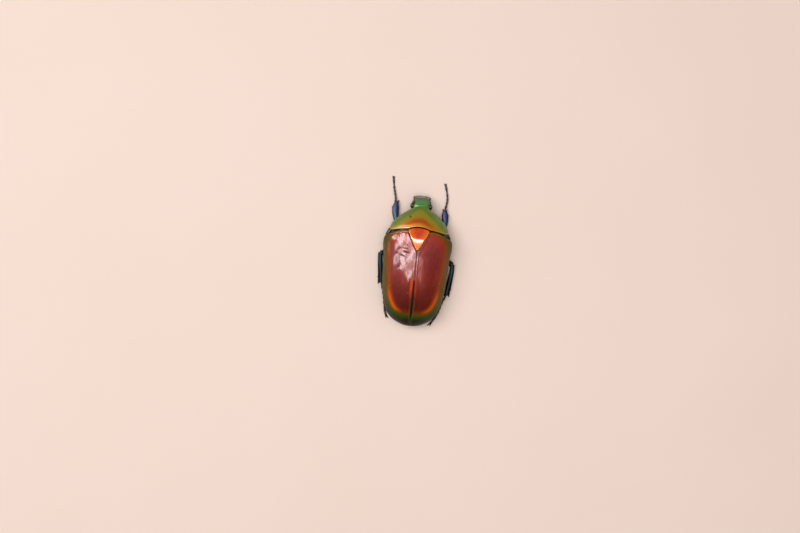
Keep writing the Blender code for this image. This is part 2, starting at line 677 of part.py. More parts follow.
def make_back_plates(collection, pronotum_finish, scutellum_finish):
    shell("pronotum", pronotum_sheet(), np.array([0, 13.35, 6.75]) * MM, False, pronotum_finish, collection)
    shell("scutellum", scutellum_sheet(), np.array([0, 8.05, 9.7]) * MM, False, scutellum_finish, collection)


def make_prothorax(collection, finish, cutters):
    """Front body ring under the pronotum, with sockets for the fore hips."""
    line = along(PRONOTUM_MIDDLE, PROTHORAX_SHARES)[:, 0]
    middle, top = inset_back(PRONOTUM_MIDDLE[::-1], line, CORE_INSET)
    side = inset_edge(PRONOTUM_SIDE, PROTHORAX_SHARES, CORE_INSET + PROTHORAX_SIDE_INSET)
    side[:, 2] -= PROTHORAX_SIDE_DROP
    bottom = np.interp(PROTHORAX_SHARES, PROTHORAX_BELLY_SHARES, PROTHORAX_BELLY)
    rings = body_rings(middle, side, top, bottom, PRONOTUM_DOME, PROTHORAX_BELLY_DOME, PROTHORAX_SIDES)
    front = front_face(PROTHORAX_FRONT, PRONOTUM_DOME, PROTHORAX_BELLY_DOME, PROTHORAX_SIDES)
    rings = np.concatenate((front, rings))
    place = np.array([0, 9.0, 2.4]) * MM
    ends = (PROTHORAX_FRONT[0], (middle[-1] + side[-1, 1]) / 2)
    made = loft("prothorax", rings, place, finish, collection, ends)
    combine(made, cutters, "DIFFERENCE")


def make_thorax(collection, finish, cutters):
    """Middle body ring, flat below, with its forward horn and sockets for the mid and hind legs."""
    middle, rings = hind_body_rings(THORAX_SHARES, 0.0, THORAX_BELLY_DOME)
    front = front_face(THORAX_FRONT, CASE_DOME, THORAX_BELLY_DOME, BODY_SIDES)
    ends = (THORAX_FRONT[[0, 2]].mean(), middle[-1])
    made = loft("thorax", np.concatenate((front, rings)), np.zeros(3), finish, collection, ends)
    horn = loft("horn", sweep_rings(rounded(STERNAL_HORN, True, True), 10), np.zeros(3), None, collection)
    combine(made, [horn], "UNION")
    combine(made, cutters, "DIFFERENCE")


def make_abdomen(collection, finish, cutters):
    """Hind body under the wing cases, its belly stepped where the segments meet."""
    middle, rings = hind_body_rings(ABDOMEN_SHARES, ABDOMEN_STEPS, ABDOMEN_BELLY_DOME)
    place = np.array([0, -8.0, 1.5]) * MM
    made = loft("abdomen", rings, place, finish, collection, middle[[0, -1]])
    sheet = pygidium_sheet(grown=True)
    faces = grid_faces(*sheet.shape[:2], False)
    room = new_object("pygidium_room", sheet.reshape(-1, 3), faces, np.zeros(3), None, collection)
    thick = room.modifiers.new("room", "SOLIDIFY")
    thick.thickness = ROOM_DEPTH
    thick.offset = 1 - 2 * (SHELL + GAP) / thick.thickness
    combine(made, cutters + [room], "DIFFERENCE")


def pygidium_sheet(grown=False):
    """Bulging sheet that closes the body behind, or the same sheet grown past its edges all round."""
    rows = along(PYGIDIUM_ROWS[:, [1, 2, 0]], np.linspace(0, 1, PYGIDIUM_GRID[0]))
    across = np.sin(np.linspace(-1, 1, PYGIDIUM_GRID[1]) * np.pi / 2)[None, :]
    if grown:
        rows = np.concatenate((2 * rows[:1] - rows[2:3], rows, 2 * rows[-1:] - rows[-3:-2]))
        rows[:, 2] = PYGIDIUM_HALF
        across = np.concatenate(([[-ROOM_REACH]], across, [[ROOM_REACH]]), axis=1)
    x = rows[:, 2:3] * across
    y = rows[:, :1] + PYGIDIUM_WRAP * (x / PYGIDIUM_HALF) ** 2
    z = rows[:, 1:2] + 0 * across
    return np.stack((x, y, z), axis=2)


def make_pygidium(collection, finish):
    """Hind plate under the tips of the wing cases."""
    place = np.array([0, -15.0, 3.3]) * MM
    shell("pygidium", pygidium_sheet(), place, False, finish, collection)


def make_side_plates(collection, finish):
    for name, side in (("left", -1), ("right", 1)):
        path = rounded(SIDE_PLATE, True, True)
        path[:, 0] *= side
        rings = sweep_rings(path, 8, up=(side * SIDE_PLATE_OUT[0], SIDE_PLATE_OUT[1], 0))
        place = np.array([side * 7.1, 6.6, 3.8]) * MM
        loft(f"mesepimeron_{name}", rings, place, finish, collection)


def make_head(collection, head_finish, eye_finish, feeler_finish):
    """Head with its flat clypeus, an eye let into each side and a folded feeler below each side."""
    places, half, top, bottom = HEAD_SECTIONS.T
    side = np.column_stack((half, places, bottom + (top - bottom) * HEAD_EDGE_SHARE))
    rings = body_rings(places, side, top, bottom, HEAD_DOME, HEAD_BELLY_DOME, HEAD_SIDES)
    head = loft("head", rings, np.array([0, 12.9, 4.2]) * MM, head_finish, collection)
    palps = []
    sockets = []
    for name, side in (("left", -1), ("right", 1)):
        mirror = np.array([side, 1, 1])
        palp = rounded(PALP_PATH, True, True)
        palp[:, 0] *= side
        palps.append(loft("palp", sweep_rings(palp, 6), np.zeros(3), None, collection))
        sockets.append(ball("socket", EYE_CENTRE * mirror, EYE_RADII + GAP, None, collection, EYE_SEGMENTS))
        ball(f"eye_{name}", EYE_CENTRE * mirror, EYE_RADII, eye_finish, collection, EYE_SEGMENTS)
        feeler = along(FEELER_PATH, np.linspace(0, 1, 15))
        feeler[:, 0] *= side
        rings = sweep_rings(rounded(feeler, True, True), 8)
        loft(f"antenna_{name}", rings, feeler[0, :3], feeler_finish, collection)
        joint = FEELER_PATH[0, :3] * mirror
        sockets.append(ball("socket", joint, np.full(3, FEELER_JOINT_RADIUS + GAP), None, collection))
    combine(head, palps, "UNION")
    combine(head, sockets, "DIFFERENCE")


def limb(name, path, place, finish, collection, grown=0.0, round_end=True):
    """A leg joint along a smooth path, with its half widths and thicknesses grown by a margin."""
    track = along(np.asarray(path) * MM, np.linspace(0, 1, LIMB_RINGS))
    heading = np.gradient(track[:, :3], axis=0)
    heading /= np.linalg.norm(heading, axis=1)[:, None]
    track[:, 3:] += grown
    track[0, :3] -= heading[0] * grown * LIMB_LENGTHENING
    track[-1, :3] += heading[-1] * grown * LIMB_LENGTHENING
    return loft(name, sweep_rings(rounded(track, True, round_end), LIMB_SIDES), place, finish, collection)


def spike(root, tip, radius, collection):
    """A cone from a root to a blunt tip."""
    way = Vector(tip) - Vector(root)
    sizes = {"radius1": radius, "radius2": radius * SPUR_BLUNTNESS, "depth": way.length}
    mesh = bpy.data.meshes.new("spike")
    work = bmesh.new()
    bmesh.ops.create_cone(work, cap_ends=True, segments=SPUR_SIDES, **sizes)
    turn = way.to_track_quat("Z", "Y").to_matrix()
    bmesh.ops.rotate(work, cent=(0, 0, 0), matrix=turn, verts=work.verts)
    bmesh.ops.translate(work, vec=(Vector(tip) + Vector(root)) / 2, verts=work.verts)
    work.to_mesh(mesh)
    work.free()
    made = bpy.data.objects.new("spike", mesh)
    collection.objects.link(made)
    return made


def floor_block(collection):
    """Everything below the floor, to cut small flats where a leg rests on it."""
    mesh = bpy.data.meshes.new("floor_block")
    work = bmesh.new()
    bmesh.ops.create_cube(work, size=1.0)
    bmesh.ops.scale(work, vec=(FLOOR_WIDTH, FLOOR_WIDTH, FLOOR_DEPTH), verts=work.verts)
    bmesh.ops.translate(work, vec=(0, 0, -FLOOR_DEPTH / 2), verts=work.verts)
    work.to_mesh(mesh)
    work.free()
    made = bpy.data.objects.new("floor_block", mesh)
    collection.objects.link(made)
    return made


def make_shin(name, leg, finish, collection):
    """Tibia with a tooth on its outer edge, an outer corner tooth and two spurs at its end."""
    place = np.array(leg["tibia"][0][:3]) * MM
    made = limb(f"{name}_tibia", leg["tibia"], place, finish, collection, round_end=False)
    end = np.array(leg["tibia"][-1]) * MM
    before = np.array(leg["tibia"][-2]) * MM
    heading = (end - before)[:3] / np.linalg.norm((end - before)[:3])
    side = np.cross(heading, (0, 0, 1)) * np.sign(np.cross(heading, (0, 0, 1))[0]) * leg["outer"]
    spikes = []
    down = np.array([0, 0, -1])
    for root_across, tip_across, sink in SPURS:
        root = end[:3] + side * end[3] * root_across - heading * SPUR_LENGTH * SPUR_ROOT_SHARE
        tip = end[:3] + side * end[3] * tip_across + heading * SPUR_LENGTH * SPUR_TIP_SHARE
        spikes.append(spike(root, tip + down * end[4] * sink, SPUR_RADIUS, collection))
    root = before[:3] + side * before[3] * TOOTH_ROOT_SHARE
    tip = before[:3] + side * (before[3] + TOOTH_OUT) + heading * TOOTH_AHEAD
    spikes.append(spike(root, tip, TOOTH_RADIUS, collection))
    combine(made, spikes, "UNION")


def make_foot(name, leg, finish, collection):
    """Tarsus of five joints, each flared towards its end, with two hooked claws."""
    places = []
    widths = []
    for start, end in zip(FOOT_BOUNDS[:-1], FOOT_BOUNDS[1:]):
        places += [start + FOOT_ROOT_GAP, start + (end - start) * FOOT_SWELLING, end - FOOT_END_GAP]
        widths += FOOT_WIDTHS
    path = along(np.array(leg["tarsus"]) * MM, places)
    size = FOOT_RADIUS * np.array(widths)[:, None]
    track = np.concatenate((path, size, size), axis=1)
    made = loft(f"{name}_tarsus", sweep_rings(track, FOOT_SIDES), path[0], finish, collection)
    end = path[-1]
    heading = (path[-1] - path[-2]) / np.linalg.norm(path[-1] - path[-2])
    claws = []
    for tip in leg["claws"]:
        tip = np.array(tip) * MM
        middle = (end + tip) / 2 + heading * CLAW_BEND + np.array([0, 0, CLAW_BEND])
        points = np.array([end - heading * CLAW_ROOT, middle, tip])
        sizes = CLAW_RADIUS * CLAW_SHARES
        curve = along(np.column_stack((points, sizes, sizes)), np.linspace(0, 1, 4))
        claws.append(loft("claw", sweep_rings(curve, 5), np.zeros(3), None, collection))
    combine(made, claws, "UNION")
    combine(made, [floor_block(collection)], "DIFFERENCE")


def make_thigh(name, leg, finish, collection):
    """Coxa and femur in one piece, with a hollow in its end for the tibia."""
    centre, radii = np.array(leg["coxa"]) * MM
    made = limb(f"{name}_femur", leg["femur"], centre, finish, collection)
    combine(made, [ball("coxa", centre, radii, None, collection)], "UNION")
    knee = np.array(leg["tibia"][0]) * MM
    cut = limb("knee", leg["tibia"], knee[:3], None, collection, grown=GAP)
    combine(made, [cut, floor_block(collection)], "DIFFERENCE")


def clearances(names, collection):
    """Bodies that cut room for hips and thighs out of what they lie against."""
    cutters = []
    for name in names:
        leg = LEGS[name]
        centre, radii = np.array(leg["coxa"]) * MM
        cutters.append(ball("hip_room", centre, radii + GAP, None, collection))
        for joint in ("femur", "tibia"):
            grown = GAP + SOCKET_SPACE
            cutters.append(limb("limb_room", leg[joint], np.zeros(3), None, collection, grown))
    return cutters


def main():
    clear_scene()
    collection = new_collection("flower_beetle")
    finishes = {name: new_material(name, *values) for name, values in FINISHES.items()}
    make_wing_cases(collection, finishes["wing_case"])
    make_back_plates(collection, finishes["pronotum"], finishes["scutellum"])
    make_prothorax(collection, finishes["underside"], clearances(("fore_left", "fore_right"), collection))
    legs = ("mid_left", "mid_right", "hind_left", "hind_right")
    make_thorax(collection, finishes["underside"], clearances(legs, collection) + [floor_block(collection)])
    make_abdomen(collection, finishes["underside"], clearances(legs, collection))
    make_pygidium(collection, finishes["underside"])
    make_side_plates(collection, finishes["underside"])
    make_head(collection, finishes["head"], finishes["eye"], finishes["feeler"])
    for name, leg in LEGS.items():
        make_thigh(name, leg, finishes["thigh"], collection)
        make_shin(name, leg, finishes["shin"], collection)
        make_foot(name, leg, finishes["foot"], collection)


main()
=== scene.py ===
import math

import bpy
import numpy as np
from mathutils import Matrix, Vector


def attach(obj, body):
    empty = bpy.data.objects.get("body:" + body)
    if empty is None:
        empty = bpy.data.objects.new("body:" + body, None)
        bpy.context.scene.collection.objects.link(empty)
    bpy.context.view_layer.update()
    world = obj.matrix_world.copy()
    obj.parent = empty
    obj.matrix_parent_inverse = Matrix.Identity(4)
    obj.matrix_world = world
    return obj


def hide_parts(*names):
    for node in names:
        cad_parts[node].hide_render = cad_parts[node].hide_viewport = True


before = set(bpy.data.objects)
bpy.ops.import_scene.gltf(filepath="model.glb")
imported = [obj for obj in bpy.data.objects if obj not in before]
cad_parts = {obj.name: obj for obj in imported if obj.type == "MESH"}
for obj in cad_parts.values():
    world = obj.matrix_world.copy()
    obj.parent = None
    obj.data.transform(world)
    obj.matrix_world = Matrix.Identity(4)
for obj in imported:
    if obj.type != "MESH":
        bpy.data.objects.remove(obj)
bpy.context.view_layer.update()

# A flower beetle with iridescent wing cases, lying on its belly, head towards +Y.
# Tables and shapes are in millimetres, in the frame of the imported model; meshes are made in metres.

MM = 0.001

# Thickness of a plate, how far the body lies inside the plates, and the space kept round a limb
SHELL = 0.6
CORE_INSET = 1.02
LIMB_SPACE = 0.21

# Rows of a finely sampled curve, and the angle in degrees above which an edge is drawn sharp
FINE_ROWS = 500
SHARP_ANGLE = 50

# Half turn round a plate's edge and how much painted shade each ring of it gets; quarter turn over a
# rounded end
LIP_TURNS = np.linspace(0, np.pi, 7)[1:-1]
LIP_SHADES = (0.3, 0.9, 1.0, 1.0, 1.0)
CAP_TURNS = np.array([0.35, 0.7, 1.05, 1.35])[:, None, None]

# Depth of the relief of a cuticle, and of a finer one
RELIEF = 0.03
FINE_RELIEF = 0.02

# Rows and columns of each surface; rows of a shin and of a foot joint
CASE_GRID = (230, 110)
PRONOTUM_GRID = (120, 190)
SCUTELLUM_GRID = (110, 90)
PYGIDIUM_GRID = (60, 100)
PROTHORAX_GRID = (60, 120)
THORAX_GRID = (110, 160)
ABDOMEN_GRID = (200, 140)
HEAD_GRID = (110, 140)
SHIN_ROWS = 90
JOINT_ROWS = 26

# Height of the back along the middle line, tail to head: y, z; and the width over which it is eased
BACK_LINE = np.array([
    (-15.7, 4.2), (-15.1, 5.15), (-14.1, 6.3), (-12.5, 7.55), (-10.5, 8.75), (-8.0, 9.75),
    (-4.5, 10.6), (-1.0, 10.9), (3.0, 10.7), (6.0, 10.25), (8.6, 9.6),
])
BACK_EASE = 0.7

# Height of the underside along the middle line, tail to head: y, z
BELLY_LINE = np.array([
    (-14.6, 2.75), (-13.8, 2.2), (-12.0, 1.85), (-9.5, 1.5), (-6.0, 1.1), (-3.6, 0.75), (-2.7, 0.0),
    (0.0, 0.0), (3.0, 0.0), (4.3, 0.2), (5.5, 1.2), (7.0, 2.1), (8.5, 2.4),
])

# Outer margin of a wing case, from the shoulder round to the tip: x, y, z
CASE_MARGIN = np.array([
    (7.9, 5.85, 5.8), (8.42, 4.9, 5.35), (8.4, 3.4, 5.1), (8.1, 1.0, 4.9), (7.92, -2.0, 4.7),
    (7.85, -5.0, 4.5), (7.5, -8.0, 4.3), (6.85, -11.0, 4.1), (5.85, -13.2, 4.0),
    (4.1, -14.75, 3.9), (2.3, -15.62, 3.85), (1.0, -15.92, 3.85), (0.03, -15.97, 3.85),
])

# Inner edge of a wing case, down the side of the scutellum and along the suture: x, y
CASE_INNER = np.array([
    (2.72, 7.3), (2.44, 6.48), (2.14, 5.84), (1.7, 5.06), (1.15, 3.86), (0.78, 3.11), (0.24, 2.42),
    (0.1, 1.9), (0.08, -1.0), (0.14, -4.0), (0.2, -6.5), (0.25, -11.0), (0.24, -13.0), (0.06, -13.9),
    (0.0, -14.5), (0.0, -15.6),
])
CASE_FRONT_BULGE = 0.36
CASE_FRONT_LEAN = 0.35
CASE_FRONT_SHARE = 0.2
CASE_DOME = (2.6, 1.7)
CASE_SWELLINGS = ((6.3, 5.1, 0.22, 1.0), (4.9, -12.4, 0.25, 1.2))

# Oval within which a wing case is crumpled: middle and half axes in x and y
CRUMPLE_MIDDLE = (3.2, 2.8)
CRUMPLE_HALF = (2.6, 4.0)

# Dents and creases of the dried wing cases, left and right: x, y, turn in degrees, depth, length, width
CASE_DENTS = {
    -1: ((2.75, 2.4, 5, 0.16, 0.75, 0.38), (2.3, 3.8, 60, 0.06, 0.9, 0.3), (3.3, 0.7, 20, 0.06, 0.9, 0.3),
         (4.4, 5.6, 75, 0.07, 1.2, 0.28), (3.5, 5.2, 72, 0.06, 1.2, 0.26), (5.3, 4.2, 80, 0.07, 1.2, 0.3),
         (2.0, 0.4, 150, 0.07, 1.0, 0.32), (2.9, -1.0, 140, 0.07, 1.1, 0.38),
         (1.4, 1.4, 120, 0.05, 0.8, 0.3), (4.6, 1.6, 110, 0.06, 1.1, 0.4)),
    1: ((3.0, 1.9, 10, 0.1, 0.7, 0.35), (1.6, 3.3, 60, 0.03, 0.8, 0.4), (4.4, -0.4, 40, 0.03, 0.9, 0.5)),
}

# Line where the disc of a wing case turns orange, from the scutellum round to the suture: x, y
CASE_BAND = np.array([
    (2.7, 7.0), (4.2, 6.85), (5.4, 6.4), (6.3, 5.5), (6.8, 4.4), (7.0, 3.0), (6.9, 0.0), (6.6, -3.0),
    (6.3, -6.0), (5.8, -8.5), (5.2, -10.2), (4.4, -11.6), (3.2, -12.4), (2.0, -12.65), (0.2, -12.6),
])

# Side edge of the pronotum, front corner to hind corner: x, y, z; then its middle line: y, z
PRONOTUM_SIDE = np.array([
    (2.4, 12.55, 5.85), (3.9, 11.55, 5.45), (5.0, 10.65, 5.25), (6.0, 9.75, 5.2),
    (6.75, 8.6, 5.25), (7.06, 7.75, 5.35), (7.03, 7.12, 5.45),
])
PRONOTUM_MIDDLE = np.array([(13.35, 6.75), (12.2, 7.75), (10.8, 8.65), (9.6, 9.25), (8.36, 9.65)])
PRONOTUM_DOME = (2.15, 1.75)
PRONOTUM_FRONT_BULGE = 0.3
PRONOTUM_PIT = (-2.4, 10.6, 0.1, 0.17)
# x of the raised bead on the left hind rim of the pronotum, and of its painted white highlight
PRONOTUM_GLINT = -4.3

# Hind edge of the pronotum, waved about a straight line: share of the half width, distance
PRONOTUM_HIND_WAVE = np.array([
    (0.0, 0.0), (0.14, 0.1), (0.27, 0.04), (0.38, -0.12), (0.55, -0.06), (0.72, -0.07),
    (0.86, -0.08), (1.0, 0.0),
])

# Half outline of the scutellum, front corner to tip: x, y; its middle line: y, and 0; its swelling: y,
# width, height
SCUTELLUM_SIDE = np.array([
    (2.52, 7.4), (2.3, 6.6), (2.01, 6.0), (1.59, 5.2), (1.04, 4.0), (0.66, 3.27), (0.08, 2.5),
])
SCUTELLUM_MIDDLE = np.array([(7.98, 0), (6.85, 0), (6.15, 0), (5.3, 0), (4.05, 0), (3.3, 0), (2.64, 0)])
SCUTELLUM_SWELLING = (5.55, 0.8, 0.2)

# Sections of the head, neck to clypeus: y, half width, top, bottom
HEAD_SECTIONS = np.array([
    (12.4, 1.8, 5.75, 3.1), (13.0, 2.1, 6.0, 2.65), (13.6, 2.1, 5.95, 2.35), (14.2, 1.8, 5.55, 2.35),
    (14.7, 1.96, 5.15, 2.5), (15.15, 2.14, 4.8, 2.8), (15.6, 2.14, 4.5, 3.1), (15.88, 2.04, 4.42, 3.3),
])
HEAD_DOME = (2.6, 1.8)
HEAD_BELLY_DOME = (2.2, 1.7)
EYE_CENTRE = np.array([2.02, 13.42, 4.6])
EYE_RADII = np.array([0.7, 0.85, 0.8])

# A mouth feeler: x, y, z, half width, half thickness
PALP_PATH = np.array([
    (0.7, 14.2, 2.6, 0.3, 0.3), (1.05, 14.7, 2.3, 0.27, 0.27), (0.85, 15.2, 2.2, 0.25, 0.25),
])

# Ridge before and over each eye: x, y, z, half width, half thickness
CANTHUS = np.array([
    (1.6, 14.55, 4.7, 0.22, 0.16), (2.05, 14.1, 5.0, 0.3, 0.14), (2.4, 13.55, 5.25, 0.24, 0.12),
])

# Feeler, folded back under the head: x, y, z, half width, half thickness
FEELER_PATH = np.array([
    (1.62, 15.0, 2.55, 0.26, 0.26), (2.0, 14.5, 2.5, 0.32, 0.3), (2.1, 13.95, 2.4, 0.25, 0.25),
    (1.95, 13.4, 2.15, 0.27, 0.27), (1.65, 13.1, 1.75, 0.25, 0.25), (1.25, 13.3, 1.6, 0.3, 0.3),
    (0.85, 14.0, 1.5, 0.42, 0.38), (0.5, 14.8, 1.4, 0.36, 0.3),
])

# Prothorax: its ends in shares of the length of the pronotum, and heights of its belly
PROTHORAX_SHARES = (0.13, 0.97)
PROTHORAX_BELLY = (3.1, 2.55, 2.4, 2.8)

# Front faces of the prothorax and thorax: middle's y, side edge's x, y, z, top and bottom
PROTHORAX_FRONT = (12.3, 2.0, 12.2, 4.7, 6.2, 3.0)
THORAX_FRONT = (7.95, 6.5, 7.3, 4.9, 8.6, 2.3)

# Ends of the thorax and the abdomen, and of the belly segments, in shares of the length of the wing cases
THORAX_SHARES = (0, 0.375)
ABDOMEN_SHARES = (0.37, 0.9)
BELLY_SEGMENTS = np.array([0.37, 0.465, 0.535, 0.605, 0.675, 0.745, 0.91])

# How squarely the belly is domed: prothorax, thorax, abdomen
PROTHORAX_BELLY_DOME = (2.0, 1.5)
THORAX_BELLY_DOME = (2.6, 1.5)
ABDOMEN_BELLY_DOME = (2.3, 1.6)

# Rounded sections of the thorax's forward horn: x, y, z, half width, half thickness
STERNAL_HORN = np.array([
    (0, 3.3, 0.75, 1.2, 0.7), (0, 4.8, 0.85, 1.05, 0.65), (0, 6.2, 1.15, 0.85, 0.55),
    (0, 7.4, 1.5, 0.6, 0.45),
])

# Upright wedge between pronotum and wing case: x, y, z, half width, half thickness
SIDE_PLATE = np.array([
    (6.65, 6.5, 2.6, 0.75, 0.3), (6.98, 6.56, 3.7, 1.0, 0.42), (7.15, 6.6, 4.62, 1.14, 0.46),
])
SIDE_PLATE_OUT = (0.88, 0.48)
SIDE_PLATE_LEFT = 0.16

# Hind plate of the body, from under the wing cases downwards: half width, y, z
PYGIDIUM_ROWS = np.array([
    (3.5, -14.3, 4.75), (4.0, -14.75, 4.2), (4.0, -15.1, 3.6), (3.6, -15.3, 3.0),
    (2.8, -15.1, 2.45), (1.6, -14.65, 2.1),
])
PYGIDIUM_WRAP = 1.15
PYGIDIUM_HALF = 4.0

# Each pair of legs: hip's centre and radii; z, half width and half thickness of thigh and shin; z of foot
LEG_SIZES = {
    "fore": {
        "coxa": ((1.65, 10.1, 2.05), (1.15, 0.85, 1.1)),
        "femur": ((1.6, 0.7, 0.55), (1.45, 0.9, 0.6), (1.4, 0.6, 0.5)),
        "tibia": ((1.4, 0.42, 0.4), (1.35, 0.7, 0.42), (1.25, 0.82, 0.42), (1.1, 0.72, 0.4)),
        "tarsus": (1.0, 0.72, 0.5, 0.36, 0.3),
    },
    "mid": {
        "coxa": ((2.75, 2.8, 0.8), (0.95, 0.8, 0.75)),
        "femur": ((0.72, 0.7, 0.5), (0.85, 0.9, 0.55), (1.45, 0.6, 0.5)),
        "tibia": ((1.5, 0.55, 0.45), (1.45, 0.55, 0.45), (1.35, 0.62, 0.48), (1.2, 0.7, 0.48),
                  (1.05, 0.72, 0.48)),
        "tarsus": (0.95, 0.65, 0.45, 0.34, 0.3),
    },
    "hind": {
        "coxa": ((2.1, -3.5, 0.72), (1.1, 0.65, 0.66)),
        "femur": ((0.66, 0.75, 0.5), (0.72, 1.05, 0.55), (0.85, 0.62, 0.5)),
        "tibia": ((0.85, 0.5, 0.42), (0.8, 0.55, 0.42), (0.7, 0.65, 0.45), (0.65, 0.72, 0.45)),
        "tarsus": (0.6, 0.48, 0.38, 0.32, 0.3),
    },
}

# Each leg from hip to claws, x counted outwards: x, y; then how much wider the end of its shin is
LEG_PLACES = {
    "fore_left": {
        "femur": ((2.1, 10.0), (3.7, 9.6), (5.6, 9.0)),
        "tibia": ((5.65, 9.15), (6.1, 10.6), (6.28, 12.2), (6.15, 14.1)),
        "tarsus": ((6.35, 14.43), (6.55, 15.4), (6.9, 16.8), (7.15, 18.0), (7.4, 19.5)),
        "claws": ((7.25, 20.35), (7.75, 20.4)),
        "wider": 0.0,
    },
    "fore_right": {
        "femur": ((2.1, 10.0), (4.0, 9.3), (6.05, 8.15)),
        "tibia": ((6.1, 8.3), (6.2, 9.7), (6.12, 11.3), (5.9, 13.0)),
        "tarsus": ((5.92, 13.33), (6.12, 14.4), (6.25, 15.8), (6.05, 17.2), (5.6, 18.9)),
        "claws": ((5.05, 19.7), (5.62, 19.78)),
        "wider": 0.04,
    },
    "mid_left": {
        "femur": ((3.1, 2.7), (5.7, 2.1), (8.75, 1.15)),
        "tibia": ((8.92, 1.2), (8.85, -0.4), (8.6, -2.2), (8.3, -4.3), (8.12, -6.0)),
        "tarsus": ((7.9, -6.4), (7.4, -8.0), (6.95, -10.0), (6.7, -12.0), (6.3, -13.5)),
        "claws": ((5.45, -14.6), (6.0, -14.65)),
        "wider": 0.02,
    },
    "mid_right": {
        "femur": ((3.1, 2.7), (5.8, 1.6), (8.85, 0.0)),
        "tibia": ((9.02, -0.1), (9.05, -1.6), (8.85, -3.4), (8.55, -5.6), (8.28, -7.6)),
        "tarsus": ((8.1, -7.96), (7.45, -9.4), (6.95, -11.0), (6.4, -12.7), (5.4, -14.4)),
        "claws": ((4.25, -15.6), (4.9, -15.7)),
        "wider": 0.0,
    },
    "hind_left": {
        "femur": ((2.5, -3.6), (4.6, -3.95), (6.75, -4.6)),
        "tibia": ((6.75, -4.8), (6.0, -6.6), (4.95, -8.6), (3.95, -10.5)),
        "tarsus": ((3.8, -10.83), (3.55, -12.0), (3.05, -13.3), (2.35, -14.3), (1.7, -14.95)),
        "claws": ((1.05, -15.45), (1.6, -15.65)),
        "wider": 0.0,
    },
    "hind_right": {
        "femur": ((2.5, -3.6), (4.6, -4.05), (6.7, -4.9)),
        "tibia": ((6.7, -5.1), (6.05, -6.9), (5.15, -8.9), (4.3, -10.9)),
        "tarsus": ((4.18, -11.23), (3.9, -12.3), (3.35, -13.5), (2.6, -14.4), (2.0, -15.0)),
        "claws": ((1.35, -15.5), (1.9, -15.7)),
        "wider": 0.0,
    },
}
LEG_PARTS = ("femur", "tibia", "tarsus", "claws")
FOOT_JOINTS = (0.0, 0.17, 0.33, 0.5, 0.67, 1.0)
FOOT_RADIUS = 0.3
CLAW_HEIGHT = 0.18
CLAW_RADIUS = 0.24
SPUR_RADIUS = 0.2
SPUR_LENGTH = 0.75

# Spurs at the end of a tibia, in shares of its half width and half thickness: root, tip, tip's drop
SPURS = ((0.62, 1.02, 0.1), (-0.6, -1.02, 0.2), (-0.4, -0.6, 0.95))


# Curves

def read_curve(table, places):
    """Monotone cubic through the rows of a table whose first column rises, read at some places."""
    knots, values = table[:, 0], table[:, 1:]
    rises = np.diff(values, axis=0) / np.diff(knots)[:, None]
    slopes = np.concatenate((rises[:1], np.zeros((len(knots) - 2, values.shape[1])), rises[-1:]))
    both = rises[1:] * rises[:-1]
    slopes[1:-1] = np.where(both > 0, 2 * both / np.where(both > 0, rises[1:] + rises[:-1], 1), 0)
    places = np.clip(places, knots[0], knots[-1])
    span = np.clip(np.searchsorted(knots, places, side="right") - 1, 0, len(knots) - 2)
    step = (knots[span + 1] - knots[span])[:, None]
    t = ((places - knots[span])[:, None]) / step
    start = values[span] * (2 * t**3 - 3 * t**2 + 1) + slopes[span] * step * (t**3 - 2 * t**2 + t)
    return start + values[span + 1] * (3 * t**2 - 2 * t**3) + slopes[span + 1] * step * (t**3 - t**2)


def eased(table, width):
    """The same curve at many even places, each value a bell-weighted mean of those within a width of it.
    The ends stay where they are."""
    places = np.linspace(table[0, 0], table[-1, 0], FINE_ROWS)
    values = read_curve(table, places)
    step = places[1] - places[0]
    reach = int(3 * width / step)
    weights = bell(np.arange(-reach, reach + 1) * step, width)
    weights /= weights.sum()
    before = 2 * values[:1] - values[reach:0:-1]
    after = 2 * values[-1:] - values[-2:-reach - 2:-1]
    padded = np.concatenate((before, values, after))
    return np.column_stack([places] + [np.convolve(column, weights, "valid") for column in padded.T])


def read_fine(table, places):
    """A finely sampled table read by straight lines between its rows, column by column."""
    flat = np.ravel(places)
    read = [np.interp(flat, table[:, 0], table[:, k]) for k in range(1, table.shape[1])]
    return np.stack(read, axis=-1).reshape(*np.shape(places), -1)


def along(points, shares, width=0.025):
    """Points at shares, 0 to 1, of the length of a smooth path through some points."""
    points = np.asarray(points, dtype=float)
    lengths = np.linalg.norm(np.diff(points[:, :3], axis=0), axis=1)
    knots = np.concatenate(([0.0], np.cumsum(lengths))) / np.sum(lengths)
    return read_fine(eased(np.column_stack((knots, points)), width), np.asarray(shares, dtype=float))


def dome(share, power):
    """Height of a domed section, 1 in the middle and 0 at the edge, where it is upright."""
    return (1 - np.clip(np.abs(share), 0, 1) ** power[0]) ** (1 / power[1])


def bell(distance, width):
    """A bump of height 1 that fades over a width."""
    return np.exp(-0.5 * (distance / width) ** 2)


def ramp(value, low, high):
    """0 below low, 1 above high and smooth between."""
    t = np.clip((value - low) / (high - low), 0, 1)
    return t * t * (3 - 2 * t)


def dense_ends(count, share=0.12):
    """Places from 0 to 1 that lie closer together towards both ends."""
    t = np.linspace(0, 1, count)
    return t - share * np.sin(2 * np.pi * t)

def wide_places(count):
    """A row of places from -1 to 1 that lie closer together towards both ends."""
    return np.sin(np.linspace(-1, 1, count) * np.pi / 2)[None, :]


def signed_power(value, power):
    """A power of the size of a value, with the value's own sign."""
    return np.sign(value) * np.abs(value) ** power


# Surfaces and closed bodies

def unit(vectors):
    """Vectors of length 1 along some vectors."""
    return vectors / np.maximum(np.linalg.norm(vectors, axis=-1, keepdims=True), 1e-9)


def sheet_normals(sheet):
    """Unit normal at each point of a grid, turned to face up and out of the body."""
    normal = unit(np.cross(np.gradient(sheet, axis=1), np.gradient(sheet, axis=0)))
    return normal * np.sign(np.mean(normal[..., 2]) or 1)


